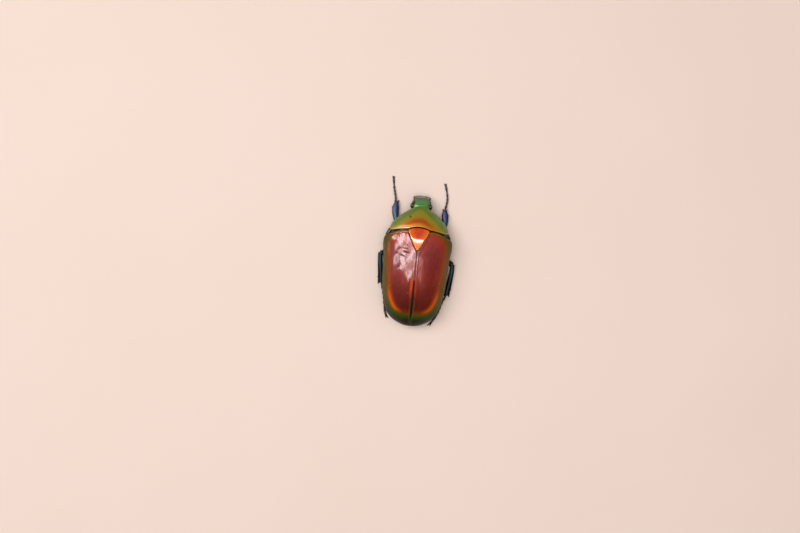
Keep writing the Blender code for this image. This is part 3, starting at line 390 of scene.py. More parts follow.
def arc_from(sheet, axis, last=False):
    """Length along a grid direction from its first row, or from its last one, to each point."""
    steps = np.linalg.norm(np.diff(sheet, axis=axis), axis=2)
    if last:
        steps = np.flip(steps, axis)
    total = np.cumsum(steps, axis=axis)
    pad = [(1, 0), (0, 0)] if axis == 0 else [(0, 0), (1, 0)]
    total = np.pad(total, pad)
    return np.flip(total, axis) if last else total


class Body:
    """Closed surfaces gathered for one object: points, faces and painted values."""

    def __init__(self):
        self.points = []
        self.quads = []
        self.triangles = []
        self.paint = []
        self.count = 0

    def add(self, points, quads, triangles=None, **paint):
        """One closed surface. Its faces are turned outwards, by the sign of the volume they enclose."""
        quads = np.asarray(quads)
        triangles = np.zeros((0, 3), dtype=int) if triangles is None else np.asarray(triangles)
        corners = np.concatenate((quads[:, [0, 1, 2]], quads[:, [0, 2, 3]], triangles))
        a, b, c = (points[corners[:, k]] - points.mean(axis=0) for k in range(3))
        if np.sum(a * np.cross(b, c)) < 0:
            quads = quads[:, ::-1]
            triangles = triangles[:, ::-1]
        self.points.append(points)
        self.quads.append(quads + self.count)
        self.triangles.append(triangles + self.count)
        self.paint.append({key: np.broadcast_to(value, len(points)) for key, value in paint.items()})
        self.count += len(points)

    def make(self, name, finish, slot):
        """The object, in metres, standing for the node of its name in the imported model."""
        mesh = bpy.data.meshes.new(name)
        faces = np.concatenate(self.quads).tolist() + np.concatenate(self.triangles).tolist()
        mesh.from_pydata((np.concatenate(self.points) * MM).tolist(), [], faces)
        for key in sorted({key for paint in self.paint for key in paint}):
            whole = [paint.get(key, np.zeros(len(part))) for paint, part in zip(self.paint, self.points)]
            layer = mesh.attributes.new(key, "FLOAT", "POINT")
            layer.data.foreach_set("value", np.concatenate(whole).astype(np.float32))
        mesh.shade_smooth()
        mesh.set_sharp_from_angle(angle=math.radians(SHARP_ANGLE))
        mesh.materials.append(finish)
        made = bpy.data.objects.new(f"{name}_cuticle", mesh)
        bpy.context.scene.collection.objects.link(made)
        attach(made, "root")
        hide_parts(name)


def plate(body, sheet, lip=0.1, **paint):
    """A plate under an open sheet: the sheet, the same sheet set in along its normals, and a half round
    edge between them that stands out by a lip, away from the points next inwards."""
    rows, columns = sheet.shape[:2]
    normal = sheet_normals(sheet)
    index = np.arange(rows * columns).reshape(rows, columns)
    border = np.concatenate((index[0, :-1], index[:-1, -1], index[-1, :0:-1], index[:0:-1, 0]))
    inner = index[np.clip(border // columns, 2, rows - 3), np.clip(border % columns, 2, columns - 3)]
    top, low, face = (grid.reshape(-1, 3) for grid in (sheet, sheet - normal * SHELL, normal))
    out = top[border] - top[inner]
    out = unit(out - face[border] * np.sum(out * face[border], axis=1)[:, None])
    middle = (top[border] + low[border]) / 2
    rise = top[border] - middle
    rings = [middle + rise * np.cos(turn) + out * lip * np.sin(turn) for turn in LIP_TURNS]
    corners = (index[:-1, :-1], index[1:, :-1], index[1:, 1:], index[:-1, 1:])
    square = np.stack(corners, axis=-1).reshape(-1, 4)
    chain = [np.arange(len(border)) + 2 * index.size + k * len(border) for k in range(len(rings))]
    chain = [border, *chain, border + index.size]
    strips = [np.stack((a, np.roll(a, -1), np.roll(b, -1), b), axis=1) for a, b in zip(chain, chain[1:])]
    source = np.concatenate([np.arange(index.size)] * 2 + [border] * len(rings))
    values = {key: np.broadcast_to(value, (rows, columns)).ravel()[source] for key, value in paint.items()}
    # Painted shade: none on the top sheet, full on the sheet below, growing round the edge as it turns
    # under
    values["under"] = np.concatenate((
        np.zeros(index.size), np.ones(index.size), np.repeat(LIP_SHADES, len(border)),
    ))
    faces = np.concatenate((square, square[:, ::-1] + index.size, np.concatenate(strips)[:, ::-1]))
    body.add(np.concatenate([top, low] + rings), faces, **values)


def closed(rings, poles):
    """Points, quads and triangles of a body through rings of points, closed by a pole at either end."""
    count, sides = rings.shape[:2]
    index = np.arange(count * sides).reshape(count, sides)
    after = np.roll(index, -1, axis=1)
    quads = np.stack((index[:-1], after[:-1], after[1:], index[1:]), axis=-1).reshape(-1, 4)
    first = np.stack((np.full(sides, count * sides), after[0], index[0]), axis=1)
    last = np.stack((np.full(sides, count * sides + 1), index[-1], after[-1]), axis=1)
    return np.concatenate((rings.reshape(-1, 3), poles)), quads, np.concatenate((first, last))


def rounded_loft(body, rings, cap=0.4, **paint):
    """A body through rings of points; each end shrinks to a pole over a quarter of an ellipse."""
    ends, poles = [], []
    for end, near in ((0, 1), (-1, -2)):
        centre = rings[end].mean(axis=0)
        way = unit(centre - rings[near].mean(axis=0)) * cap
        ends.append(centre + (rings[end] - centre) * np.cos(CAP_TURNS) + way * np.sin(CAP_TURNS))
        poles.append(centre + way)
    values = {}
    for key, value in paint.items():
        value = np.broadcast_to(value, rings.shape[:2])
        first, last = (np.repeat(value[[end]], len(CAP_TURNS), axis=0) for end in (0, -1))
        grown = np.concatenate((first, value, last))
        values[key] = np.concatenate((grown.ravel(), [value[0].mean(), value[-1].mean()]))
    body.add(*closed(np.concatenate((ends[0][::-1], rings, ends[1])), poles), **values)


def sweep_rings(path, sides, up=(0, 0, 1), power=2.0):
    """Rings square to a path of x, y, z, half width, half thickness: ovals, squarer for a higher power."""
    heading = unit(np.gradient(path[:, :3], axis=0))
    side = unit(np.cross(heading, np.asarray(up, dtype=float)))
    top = np.cross(side, heading)
    turn = np.arange(sides) * 2 * np.pi / sides
    across = side[:, None, :] * (path[:, 3, None] * signed_power(np.cos(turn), 2 / power))[:, :, None]
    upward = top[:, None, :] * (path[:, 4, None] * signed_power(np.sin(turn), 2 / power))[:, :, None]
    return path[:, None, :3] + across + upward


def egg(body, centre, radii, sides):
    """An egg-shaped body: rings of latitude whose radius and height follow a half circle."""
    turn = np.linspace(0, np.pi, sides // 2 + 1)[1:-1, None]
    around = np.arange(sides) * 2 * np.pi / sides
    x = np.sin(turn) * np.cos(around)
    rings = np.stack((x, np.sin(turn) * np.sin(around), np.cos(turn) + 0 * x), axis=-1)
    points, quads, triangles = closed(rings, [(0, 0, 1), (0, 0, -1)])
    body.add(points * radii + centre, quads, triangles)


def horn(body, root, tip, bend, radii, sides=12, rows=14, **paint):
    """A pointed body from root to tip, its middle pushed aside by a bend. Its radius runs through radii."""
    points = np.array([root, (root + tip) / 2 + bend, tip])
    path = along(np.column_stack((points, radii, radii)), np.linspace(0, 1, rows), 0.05)
    rounded_loft(body, sweep_rings(path, sides), cap=path[-1, 3] * 0.8, **paint)


def body_rings(middle_y, edge, tops, bottoms, dome_power, belly_power, sides):
    """Closed rings, widest at an edge and domed above and below it. Above, they lean to a middle of their
    own."""
    turn = (np.arange(sides) + 0.5) * 2 * np.pi / sides
    across = signed_power(np.cos(turn), 0.8)
    above = np.sin(turn) > 0
    lean = np.where(above, 1 - np.abs(across), 0)
    upper = edge[:, 2:3] + (tops[:, None] - edge[:, 2:3]) * dome(across, dome_power)
    lower = edge[:, 2:3] - (edge[:, 2:3] - bottoms[:, None]) * dome(across, belly_power)
    y = edge[:, 1:2] + (middle_y[:, None] - edge[:, 1:2]) * lean
    return np.stack((edge[:, :1] * across, y, np.where(above, upper, lower)), axis=2)


def inset_edge(edge, shares, distance):
    """Points of a margin at shares of its length, moved inwards in plan, square to the margin."""
    here = along(edge, shares)
    heading = unit(along(edge, shares + 0.01)[:, :2] - along(edge, shares - 0.01)[:, :2])
    here[:, 0] += heading[:, 1] * distance
    here[:, 1] -= heading[:, 0] * distance
    return here


def inset_back(line, places, distance):
    """Points of the back line at places along Y, moved inwards square to the line: y, z."""
    here = read_curve(line, places)[:, 0]
    slope = (read_curve(line, places + 0.2)[:, 0] - read_curve(line, places - 0.2)[:, 0]) / 0.4
    length = np.sqrt(1 + slope**2)
    return places + slope / length * distance, here - distance / length


# Legs

def leg_tables(name):
    """A leg's tables: its own places beside the sizes of its pair, with x turned to its side."""
    sizes, places = LEG_SIZES[name.split("_")[0]], LEG_PLACES[name]
    sizes = {**sizes, "claws": (CLAW_HEIGHT, CLAW_HEIGHT)}
    side = -1 if name.endswith("left") else 1
    leg = {"side": side, "coxa": np.array(sizes["coxa"])}
    leg["coxa"][0, 0] *= side
    for part in LEG_PARTS:
        leg[part] = np.column_stack((places[part], sizes[part]))
        leg[part][:, 0] *= side
    leg["tibia"][-1, 3] += places["wider"]
    return leg


LEGS = {name: leg_tables(name) for name in LEG_PLACES}


def limb_tracks(names):
    """Axes of hips, thighs and shins as tables of x, y, z, half width, half thickness."""
    tracks = []
    for name in names:
        (x, y, z), (wide, long, high) = LEGS[name]["coxa"]
        tracks.append(np.array([(x + wide * t, y, z, long, high) for t in np.linspace(-0.5, 0.5, 7)]))
        tracks += [along(LEGS[name][part], np.linspace(0, 1, 60)) for part in ("femur", "tibia")]
    return tracks


def make_room(rings, *names):
    """Belly points that a leg lies against are lifted over it: to its axis height plus the height of an
    oval section at their distance from the axis."""
    flat = rings.reshape(-1, 3)
    for track in limb_tracks(names):
        away = np.linalg.norm(flat[:, None, :2] - track[None, :, :2], axis=2)
        nearest = away.argmin(axis=1)
        near = away[np.arange(len(flat)), nearest]
        z, wide, thick = track[nearest, 2:].T
        share = np.clip(1 - (near / (wide + LIMB_SPACE)) ** 2, 0, None)
        lifted = z + (thick + LIMB_SPACE) * np.sqrt(share)
        inside = (share > 0) & (flat[:, 2] < lifted)
        flat[:, 2] = np.where(inside, lifted, flat[:, 2])
    return flat.reshape(rings.shape)


def limb_paint(rings):
    """Share of the length, and nearness to the two side edges where shade is painted, of each point of a
    limb's rings.
    """
    count, sides = rings.shape[:2]
    turn = np.arange(sides) * 2 * np.pi / sides
    return {"reach": np.linspace(0, 1, count)[:, None], "edge": ramp(np.abs(np.cos(turn)), 0.72, 0.97)}


# Materials

def srgb(red, green, blue):
    """A colour given as 0 to 255 on a screen, as the linear light that a shader takes."""
    shares = (part / 255 for part in (red, green, blue))
    return tuple(((share + 0.055) / 1.055) ** 2.4 if share > 0.04 else share / 12.92 for share in shares)


class Reading:
    """A number that varies over a surface; arithmetic on it adds Math nodes."""

    def __init__(self, finish, socket):
        self.finish = finish
        self.socket = socket

    def __add__(self, other):
        return self.finish.maths("ADD", self, other)

    def __sub__(self, other):
        return self.finish.maths("SUBTRACT", self, other)

    def __mul__(self, other):
        return self.finish.maths("MULTIPLY", self, other)

    def __rsub__(self, other):
        return self.finish.maths("SUBTRACT", other, self)

    __radd__ = __add__
    __rmul__ = __mul__

    def clear(self):
        """The same number kept between 0 and 1."""
        return self.finish.node("ShaderNodeClamp", {}, {0: self})

    def between(self, low, high):
        """0 at low, 1 at high and smooth between."""
        values = {0: self, 1: low, 2: high, 3: 0.0, 4: 1.0}
        return self.finish.node("ShaderNodeMapRange", {"interpolation_type": "SMOOTHSTEP"}, values)


class Finish:
    """One material, whose nodes end in its Principled shader."""

    def __init__(self, name, **fixed):
        self.material = bpy.data.materials.new(name)
        self.material.use_nodes = True
        self.tree = self.material.node_tree
        self.shader = self.tree.nodes["Principled BSDF"]
        self.wear(**fixed)

    def node(self, kind, settings, values, output=0):
        """Adds any node: first its settings, or a colour ramp's stops, then the values or links of its
        sockets. Gives the reading of one output."""
        made = self.tree.nodes.new(kind)
        for key, value in settings.items():
            if key == "stops":
                stops = made.color_ramp.elements
                while len(stops) < len(value):
                    stops.new(0.5)
                for stop, (place, colour) in zip(stops, value):
                    stop.position = place
                    stop.color = (*colour, 1.0)
            else:
                setattr(made, key, value)
        for key, value in values.items():
            self.join(made.inputs[key], value)
        return Reading(self, made.outputs[output])

    def join(self, entry, value):
        """Links a reading to a socket, or sets a value or a colour there."""
        if isinstance(value, Reading):
            self.tree.links.new(value.socket, entry)
        elif isinstance(value, tuple) and entry.type == "RGBA":
            entry.default_value = (*value, 1.0)
        else:
            entry.default_value = value

    def painted(self, name):
        """A value painted on the mesh, point by point."""
        return self.node("ShaderNodeAttribute", {"attribute_name": name}, {}, "Fac")

    def maths(self, operation, first, second):
        """A sum, difference or product of readings and numbers."""
        return self.node("ShaderNodeMath", {"operation": operation}, {0: first, 1: second})

    def place(self, stretch=(1, 1, 1), turn=(0, 0, 0)):
        """Object coordinates in millimetres, stretched and turned."""
        here = self.node("ShaderNodeTexCoord", {}, {}, "Object")
        size = tuple(part / MM for part in stretch)
        return self.node("ShaderNodeMapping", {}, {"Vector": here, "Scale": size, "Rotation": turn})

    def noise(self, scale, detail=3.0, stretch=(1, 1, 1), rough=0.5, turn=(0, 0, 0)):
        """Cloudy noise about 0.5, with so many waves to a millimetre."""
        values = {"Vector": self.place(stretch, turn), "Scale": scale, "Detail": detail, "Roughness": rough}
        return self.node("ShaderNodeTexNoise", {}, values, "Fac")

    def pits(self, scale):
        """Distance to the nearest of scattered points, so many to a millimetre."""
        values = {"Vector": self.place(), "Scale": scale, "Randomness": 0.85}
        return self.node("ShaderNodeTexVoronoi", {}, values, "Distance")

    def mix(self, share, first, second):
        """One colour or the other, by a share."""
        return self.node("ShaderNodeMix", {"data_type": "RGBA"}, {0: share, 6: first, 7: second}, 2)

    def layers(self, hue, *layers):
        """A colour with others laid over it in turn, each given as its share, red, green and blue."""
        for share, *colour in layers:
            hue = self.mix(share, hue, srgb(*colour))
        return hue

    def ramp(self, share, *stops):
        """A colour read from a row of colours, each given as its place, red, green and blue."""
        stops = [(place, srgb(*colour)) for place, *colour in stops]
        return self.node("ShaderNodeValToRGB", {"stops": stops}, {0: share}, "Color")

    def bump(self, height, distance):
        """Relief in millimetres, sent to the shader's normal."""
        values = {"Height": height, "Distance": distance * MM}
        self.wear(Normal=self.node("ShaderNodeBump", {}, values, "Normal"))

    def wear(self, **inputs):
        """Sends values, readings or colours to the shader's own sockets."""
        for key, value in inputs.items():
            self.join(self.shader.inputs[key.replace("_", " ")], value)


def case_colours(made, grain):
    """Crimson on the disc, then orange, olive and green towards the margin, and over them the glow, a
    painted lilac sheen, painted shade to the rear, the pale line, the dark brink, specks and painted shade
    below."""
    band = made.painted("band") + (made.noise(0.45, 3.0) - 0.5) * 0.5 + grain * 0.35
    share = (band + 3.0) * 0.1667
    fore = made.ramp(
        share, (0.22, 46, 52, 8), (0.34, 84, 76, 6), (0.42, 108, 74, 4), (0.5, 144, 70, 8),
        (0.58, 150, 58, 26), (0.7, 138, 44, 34), (0.9, 126, 38, 30),
    )
    hind = made.ramp(
        share, (0.06, 28, 24, 16), (0.18, 30, 36, 14), (0.28, 42, 66, 10), (0.37, 70, 76, 8),
        (0.44, 104, 66, 12), (0.5, 114, 50, 10), (0.6, 106, 30, 12), (0.8, 96, 24, 16),
    )
    disc = band.between(0.2, 1.2)
    dusty = made.noise(1.1, 5.0, (1, 0.6, 1), 0.65).between(0.44, 0.74) * disc
    hue = made.layers(
        made.mix(made.painted("rear"), fore, hind),
        (made.painted("shoulder") * disc * 0.7, 166, 50, 30),
        (dusty * 0.25, 146, 84, 76),
        # painted lilac sheen of the reflected window over the crumpled part
        (made.painted("crumple") * 0.3, 134, 92, 102),
        # painted shade darkening the rear of the disc
        (made.painted("aft") * disc * 0.6, 72, 18, 4),
    )
    glow = (made.painted("glow") + grain * made.painted("glow")).clear()
    hue = made.mix(glow, hue, made.ramp(share, (0.46, 224, 118, 22), (0.58, 224, 72, 16)))
    return made.layers(
        hue,
        (made.painted("line") * 0.45, 124, 106, 36),
        (made.painted("brink") * 0.8, 44, 32, 24),
        ((1 - made.pits(0.55).between(0.035, 0.075)) * 0.55, 205, 180, 160),
        # painted shade on the underside and the turned-down edge
        (made.painted("under"), 20, 12, 8),
    )


def case_finish():
    """Wing case: worn gloss over its colours, and crinkles where the case is crumpled."""
    made = Finish(
        "wing_case_cuticle", Metallic=0.2, Coat_Roughness=0.1, Coat_IOR=1.75, Specular_IOR_Level=0.1,
    )
    grain = made.noise(4.0, 4.0, (1, 0.5, 1)) - 0.5
    worn = made.noise(0.55, 5.0, (1.3, 0.6, 1), 0.6).between(0.38, 0.62)
    gloss = (1 - made.painted("dull") * 0.96) * (1 - worn * 0.8)
    made.wear(Base_Color=case_colours(made, grain), Roughness=0.42 + grain * 0.2, Coat_Weight=gloss)
    crumple = made.painted("crumple")
    folds = made.noise(0.62, 2.0, (1.5, 0.75, 1), 0.45, (0, 0, 0.5)) - 0.5
    creased = made.noise(2.2, 3.0, (1.2, 0.8, 1), 0.5, (0, 0, 0.9)) - 0.5
    crinkles = folds * (crumple * 9 + 0.8) + creased * crumple
    made.bump(grain * 0.4 + made.noise(14.0, 2.0) * 0.12 + crinkles, RELIEF)
    return made.material


def pronotum_finish():
    """Pronotum: red brown at the hind middle, then amber and olive to green; golden hind rim with a painted
    highlight.
    """
    made = Finish(
        "pronotum_cuticle", Metallic=0.25, Coat_Roughness=0.14, Coat_IOR=1.9, Specular_IOR_Level=0.2,
    )
    grain = made.noise(4.0, 4.0) - 0.5
    warm = made.painted("warm") + (made.noise(0.5, 3.0) - 0.5) * 0.1 + grain * 0.05
    glint, brink = made.painted("glint"), made.painted("brink")
    hue = made.layers(
        made.ramp(
            warm.clear(), (0.0, 100, 124, 50), (0.12, 114, 132, 46), (0.24, 138, 144, 42),
            (0.42, 160, 134, 42), (0.53, 176, 112, 30), (0.62, 174, 92, 16), (0.7, 168, 72, 12),
            (1.0, 164, 62, 8),
        ),
        (made.painted("amber"), 210, 130, 20),
        (made.painted("gilt") * 0.85, 222, 160, 48),
        (brink * 0.6, 44, 54, 26),
        # painted shade in the small pit
        (made.painted("pit"), 44, 34, 14),
        # painted shade on the underside and the turned-down edge
        (made.painted("under"), 18, 14, 8),
        # painted white highlight on the left hind rim
        (glint * 0.85, 246, 230, 190),
    )
    made.wear(Base_Color=hue, Roughness=0.4 + grain * 0.2, Coat_Weight=(0.2 + glint * 0.8) * (1 - brink))
    made.bump(grain * 0.4 + made.noise(14.0, 2.0) * 0.15, RELIEF)
    return made.material


def scutellum_finish():
    """Scutellum: orange red with golden sides and tip."""
    made = Finish(
        "scutellum_cuticle", Metallic=0.2, Coat_Roughness=0.08, Coat_IOR=2.1, Specular_IOR_Level=0.2,
    )
    grain = made.noise(4.0, 4.0) - 0.5
    rim = made.painted("rim")
    hue = made.layers(
        srgb(250, 100, 8),
        (rim.between(0.5, 1.7), 222, 66, 16),
        ((1 - (rim + grain * 0.2).between(0.2, 0.5)) * 0.85, 234, 142, 34),
        (made.painted("tip") * 0.85, 184, 100, 14),
        # painted shade on the underside and the turned-down edge
        (made.painted("under"), 30, 16, 8),
    )
    made.wear(Base_Color=hue, Roughness=0.34 + grain * 0.15, Coat_Weight=1 - made.painted("matt") * 0.93)
    made.bump(grain * 0.5, FINE_RELIEF)
    return made.material


def head_finish():
    """Head: punctured green, greyish violet towards the front, with a purple brown rim."""
    made = Finish(
        "head_cuticle", Metallic=0.35, Coat_Weight=0.6, Coat_Roughness=0.18, Specular_IOR_Level=0.3,
    )
    grain = made.noise(5.0, 4.0) - 0.5
    front = (made.painted("front") + (made.noise(0.9, 2.0) - 0.5) * 0.5).clear()
    hue = made.layers(
        made.ramp(
            front, (0.0, 88, 150, 62), (0.35, 82, 148, 80), (0.7, 108, 136, 98), (1.0, 118, 122, 100),
        ),
        (made.painted("rim"), 72, 44, 52),
        # painted shade on the lower half of the head
        (made.painted("under"), 22, 30, 22),
    )
    made.wear(Base_Color=hue, Roughness=0.34 + grain * 0.2)
    made.bump(grain * 0.5 + made.pits(4.5).between(0.0, 0.4) * 0.8, RELIEF)
    return made.material


def limb_finish(name, edge, *stops, shine=0.25):
    """A leg joint whose colour runs through some stops from root to end, with a painted shade colour along
    its sides.
    """
    made = Finish(
        name, Metallic=0.15, Coat_Weight=shine, Coat_Roughness=0.16, Specular_IOR_Level=shine * 0.8,
    )
    grain = made.noise(5.0, 4.0) - 0.5
    hue = made.ramp((made.painted("reach") + grain * 0.12).clear(), *stops)
    # painted shade along the two sides of the limb
    hue = made.layers(hue, (made.painted("edge") * 0.85, *edge))
    made.wear(Base_Color=hue, Roughness=0.36 + grain * 0.25)
    made.bump(grain * 0.5 + made.pits(2.6).between(0.05, 0.3) * 0.7, RELIEF)
    return made.material


def foot_finish():
    """Foot: brown black glossy joints with a painted pale highlight at their ends."""
    made = Finish(
        "foot_cuticle", Metallic=0.05, Coat_Weight=0.3, Coat_Roughness=0.1, Specular_IOR_Level=0.2,
    )
    grain = made.noise(6.0, 4.0) - 0.5
    drift = made.noise(1.0, 2.0).between(0.35, 0.65)
    # painted pale highlight at the ends of the joints
    joint = made.painted("joint") * 0.65
    hue = made.layers(srgb(34, 18, 16), (drift, 50, 26, 24), (joint, 150, 120, 108))
    made.wear(Base_Color=hue, Roughness=0.35 + grain * 0.2)
    made.bump(grain * 0.6, RELIEF)
    return made.material


def plain_cuticle(name, dark, light, shine, roughness=0.36, metal=0.25, pitted=3.0, depth=RELIEF):
    """Cuticle of two drifting colours, with a fine grain and punctures, and painted shade under its plates.
    """
    made = Finish(name, Metallic=metal, Coat_Weight=shine, Coat_Roughness=0.18, Specular_IOR_Level=0.3)
    grain = made.noise(6.0, 4.0) - 0.5
    drift = made.noise(0.8, 3.0).between(0.35, 0.65)
    # The last layer is painted shade under the plates
    hue = made.layers(srgb(*dark), (drift, *light), (made.painted("under"), 16, 14, 10))
    made.wear(Base_Color=hue, Roughness=roughness + grain * 0.2)
    made.bump(grain * 0.5 + made.pits(pitted).between(0.0, 0.35), depth)
    return made.material


# Pieces

def case_stations(shares):
    """Inner edge, top of the back and outer margin of the wing cases at shares of their length."""
    inner = along(CASE_INNER, shares, 0.015)
    outer = along(CASE_MARGIN, shares, 0.02)
    top = read_fine(eased(BACK_LINE, BACK_EASE), inner[:, 1])[:, 0]
    return inner, outer, top


def band_distance(x, y):
    """Distance in plan from the orange line of a wing case, above 0 on the side of the disc."""
    line = along(CASE_BAND, np.linspace(0, 1, 260), 0.03)
    heading = np.gradient(line, axis=0)
    spots = np.stack((x.ravel(), y.ravel()), axis=1)
    gaps = spots[:, None, :] - line[None, :, :]
    far = np.hypot(gaps[..., 0], gaps[..., 1])
    nearest = far.argmin(axis=1)
    rows = np.arange(len(spots))
    gap, way = gaps[rows, nearest], heading[nearest]
    side = np.sign(way[:, 1] * gap[:, 0] - way[:, 0] * gap[:, 1])
    return (far[rows, nearest] * side).reshape(x.shape)


def creases(x, y, side):
    """Depth of the dents of one wing case: long bells, each turned in plan."""
    depth = 0 * x
    for dent_x, dent_y, turn, deep, long, wide in CASE_DENTS[side]:
        c, s = math.cos(math.radians(turn)), math.sin(math.radians(turn))
        length = (x - dent_x) * c + (y - dent_y) * s
        width = (y - dent_y) * c - (x - dent_x) * s
        depth = depth + deep * bell(length, long) * bell(width, wide)
    return depth


def case_sheet():
    """The right wing case as a sheet: rows fan from the suture to the outer margin, domed across, with a
    bulging front edge and low swellings."""
    rows, columns = CASE_GRID
    shares = 1 - (1 - dense_ends(rows)) ** 1.25
    inner, outer, top = case_stations(shares)
    first = (inner[:, 0] / outer[:, 0].clip(0.9))[:, None].clip(0, 0.6)
    spread = np.sin(np.linspace(0, 1, columns) * np.pi / 2)[None, :] ** 0.9
    x, y = (inner[:, k, None] + (outer[:, k, None] - inner[:, k, None]) * spread for k in (0, 1))
    wave = np.sin(spread * np.pi) + CASE_FRONT_LEAN * np.sin(2 * spread * np.pi)
    y = y + CASE_FRONT_BULGE * wave * (1 - shares[:, None] / CASE_FRONT_SHARE).clip(0, 1) ** 2
    z = outer[:, 2:3] + (top[:, None] - outer[:, 2:3]) * dome(first + (1 - first) * spread, CASE_DOME)
    for swell_x, swell_y, height, wide in CASE_SWELLINGS:
        z = z + height * bell(np.hypot(x - swell_x, y - swell_y), wide)
    return np.stack((x, y, z), axis=2)


def case_relief(y, rim, seam):
    """Height of the bead round the margin, and of the ridge and the furrow along the suture."""
    rear = ramp(-y, 2.0, 6.0)
    bead = 0.05 * bell(rim - 0.32, 0.09) - 0.04 * bell(rim - 0.62, 0.16)
    furrow = rear * (0.05 * bell(seam - 0.22, 0.12) - 0.06 * bell(seam - 0.75, 0.3))
    ridge = 0.055 * (1 - rear) * bell(seam - 0.26, 0.14)
    return bead + (furrow + ridge) * ramp(rim, 0.2, 1.0)


def case_polish(y, side, band, rim, seam):
    """Share of gloss: over the whole disc on the left, mostly before and along the suture on the right."""
    if side < 0:
        fade = ramp(band + 0.8 * ramp(y, 0.0, 3.0), 0.0, 1.0)
    else:
        fade = ramp(band, 0.0, 1.3) * (0.3 + 0.35 * ramp(y, 2.0, 4.0)) + 0.6 * bell(seam - 0.2, 0.2)
        fade = fade * (0.4 + 0.6 * ramp(y, -3.5, 0.5))
    return ramp(rim, 0.3, 0.7) * fade.clip(0, 1) * (1 - 0.5 * ramp(-y, 4.0, 10.0))


def case_paint(x, y, side, rim, seam):
    """Painted values of a wing case, from its place in plan and its distance from margin and suture."""
    band = band_distance(x, y)
    corner = ramp(-y, 6.0, 9.5) * ramp(x, 1.8, 4.4) * bell(band - 0.1, 0.3) * (0.75 - 0.1 * side)
    suture = ramp(-y, 2.5, 5.5) * (1 - ramp(-y, 6.5, 10.5)) * (0.55 - 0.15 * side)
    suture = suture * bell(seam - 0.38 + 0.08 * side, 0.22 - 0.05 * side)
    line = bell(rim - 0.34, 0.1) * (1 - 0.75 * ramp(-y, 6, 10))
    away = [(place - middle) / half for place, middle, half in zip((x, y), CRUMPLE_MIDDLE, CRUMPLE_HALF)]
    crumple = bell(np.hypot(*away), 0.75)
    return {
        "band": np.clip(band, -3, 3),
        "rear": ramp(-y, 9.5, 12.6),
        "glow": np.maximum(corner, suture),
        "line": np.maximum(line, 0.7 * bell(seam - 0.3, 0.1) * ramp(-y, 9.0, 10.5)),
        "brink": 1 - ramp(rim, 0.08, 0.26),
        "dull": 1 - case_polish(y, side, band, rim, seam),
        "shoulder": ramp(y, 1.0, 6.0),
        # painted shade darkening the rear of the disc
        "aft": ramp(-y, 3.0, 11.0),
        # crumpled part: its crinkles in the relief, and its painted lilac sheen
        "crumple": crumple * (1.0 if side < 0 else 0.4),
    }


def make_wing_case(name, side, finish):
    """The sheet with its relief, dents and paint, turned to its side and given its thickness."""
    sheet = case_sheet()
    x, y = sheet[..., 0], sheet[..., 1]
    rim = np.minimum(arc_from(sheet, 1, last=True), arc_from(sheet, 0))
    seam = arc_from(sheet, 1)
    lift = case_relief(y, rim, seam) - creases(x, y, side)
    lifted = sheet + sheet_normals(sheet) * lift[..., None]
    lifted[..., 0] *= side
    body = Body()
    plate(body, lifted, **case_paint(x, y, side, rim, seam))
    body.make(name, finish, "wing_case")


def back_height(x, y):
    """Height of the back over a place in plan, for the plate between the wing cases."""
    top = read_fine(eased(BACK_LINE, BACK_EASE), y)[..., 0]
    margin = read_fine(eased(CASE_MARGIN[::-1][:, [1, 0, 2]], 0.6), y)
    return margin[..., 1] + (top - margin[..., 1]) * dome(x / margin[..., 0], CASE_DOME)


def pronotum_sheet():
    """Rows run from side edge to side edge, bent like the front and the hind edge, and are domed across."""
    shares = dense_ends(PRONOTUM_GRID[0], 0.1)
    middle = along(PRONOTUM_MIDDLE, shares)
    side = along(PRONOTUM_SIDE, shares)
    across = wide_places(PRONOTUM_GRID[1])
    far = np.abs(across)
    halves = shares[:, None] / 0.5
    wave = read_fine(eased(PRONOTUM_HIND_WAVE, 0.03), far)[..., 0]
    y = middle[:, :1] + (side[:, 1:2] - middle[:, :1]) * far
    y = y + PRONOTUM_FRONT_BULGE * np.sin(far * np.pi) * (1 - halves).clip(0, 1)
    y = y + wave * (halves - 1).clip(0, 1)
    z = side[:, 2:3] + (middle[:, 1:2] - side[:, 2:3]) * dome(across, PRONOTUM_DOME)
    return np.stack((side[:, :1] * across, y, z), axis=2)


def make_pronotum(finish):
    """A shield with a bead along its sides and its hind edge, and one small pit left of the middle."""
    sheet = pronotum_sheet()
    x, y = sheet[..., 0], sheet[..., 1]
    rim = np.minimum(arc_from(sheet, 1, last=True), arc_from(sheet, 1))
    hind = arc_from(sheet, 0, last=True)
    pit_x, pit_y, depth, wide = PRONOTUM_PIT
    pit = bell(np.hypot(x - pit_x, y - pit_y), wide)
    lift = 0.05 * bell(rim - 0.2, 0.07) - 0.03 * bell(rim - 0.42, 0.12) - depth * pit
    lift = lift + (0.025 + 0.09 * bell(x - PRONOTUM_GLINT, 0.7)) * bell(hind - 0.16, 0.1)
    lift = lift - 0.015 * bell(hind - 0.4, 0.1)
    warm = 1 - (np.abs(x + 0.2) / 6.8) ** 2.2 - hind / 4.9 + 0.12 * bell(x, 1.6) * ramp(hind, 2.6, 4.2)
    amber = 0.85 * bell(hind - 0.45, 0.36) * (1 - 0.45 * ramp(x, 0, 2))
    paint = {
        "warm": warm.clip(0, 1),
        # the pit's depth also paints shade into it
        "pit": pit,
        "gilt": bell(hind - 0.14, 0.11) * (1 - 0.5 * ramp(x, 0, 4)),
        # painted white highlight on the left hind rim, which also carries more gloss
        "glint": bell(hind - 0.17, 0.13) * bell(x - PRONOTUM_GLINT, 1.1),
        "amber": amber * (1 - 0.7 * ramp(np.abs(x), 3.5, 5.5)),
        "brink": 1 - ramp(rim, 0.05, 0.3),
    }
    body = Body()
    plate(body, sheet + sheet_normals(sheet) * lift[..., None], **paint)
    body.make("pronotum", finish, "pronotum")


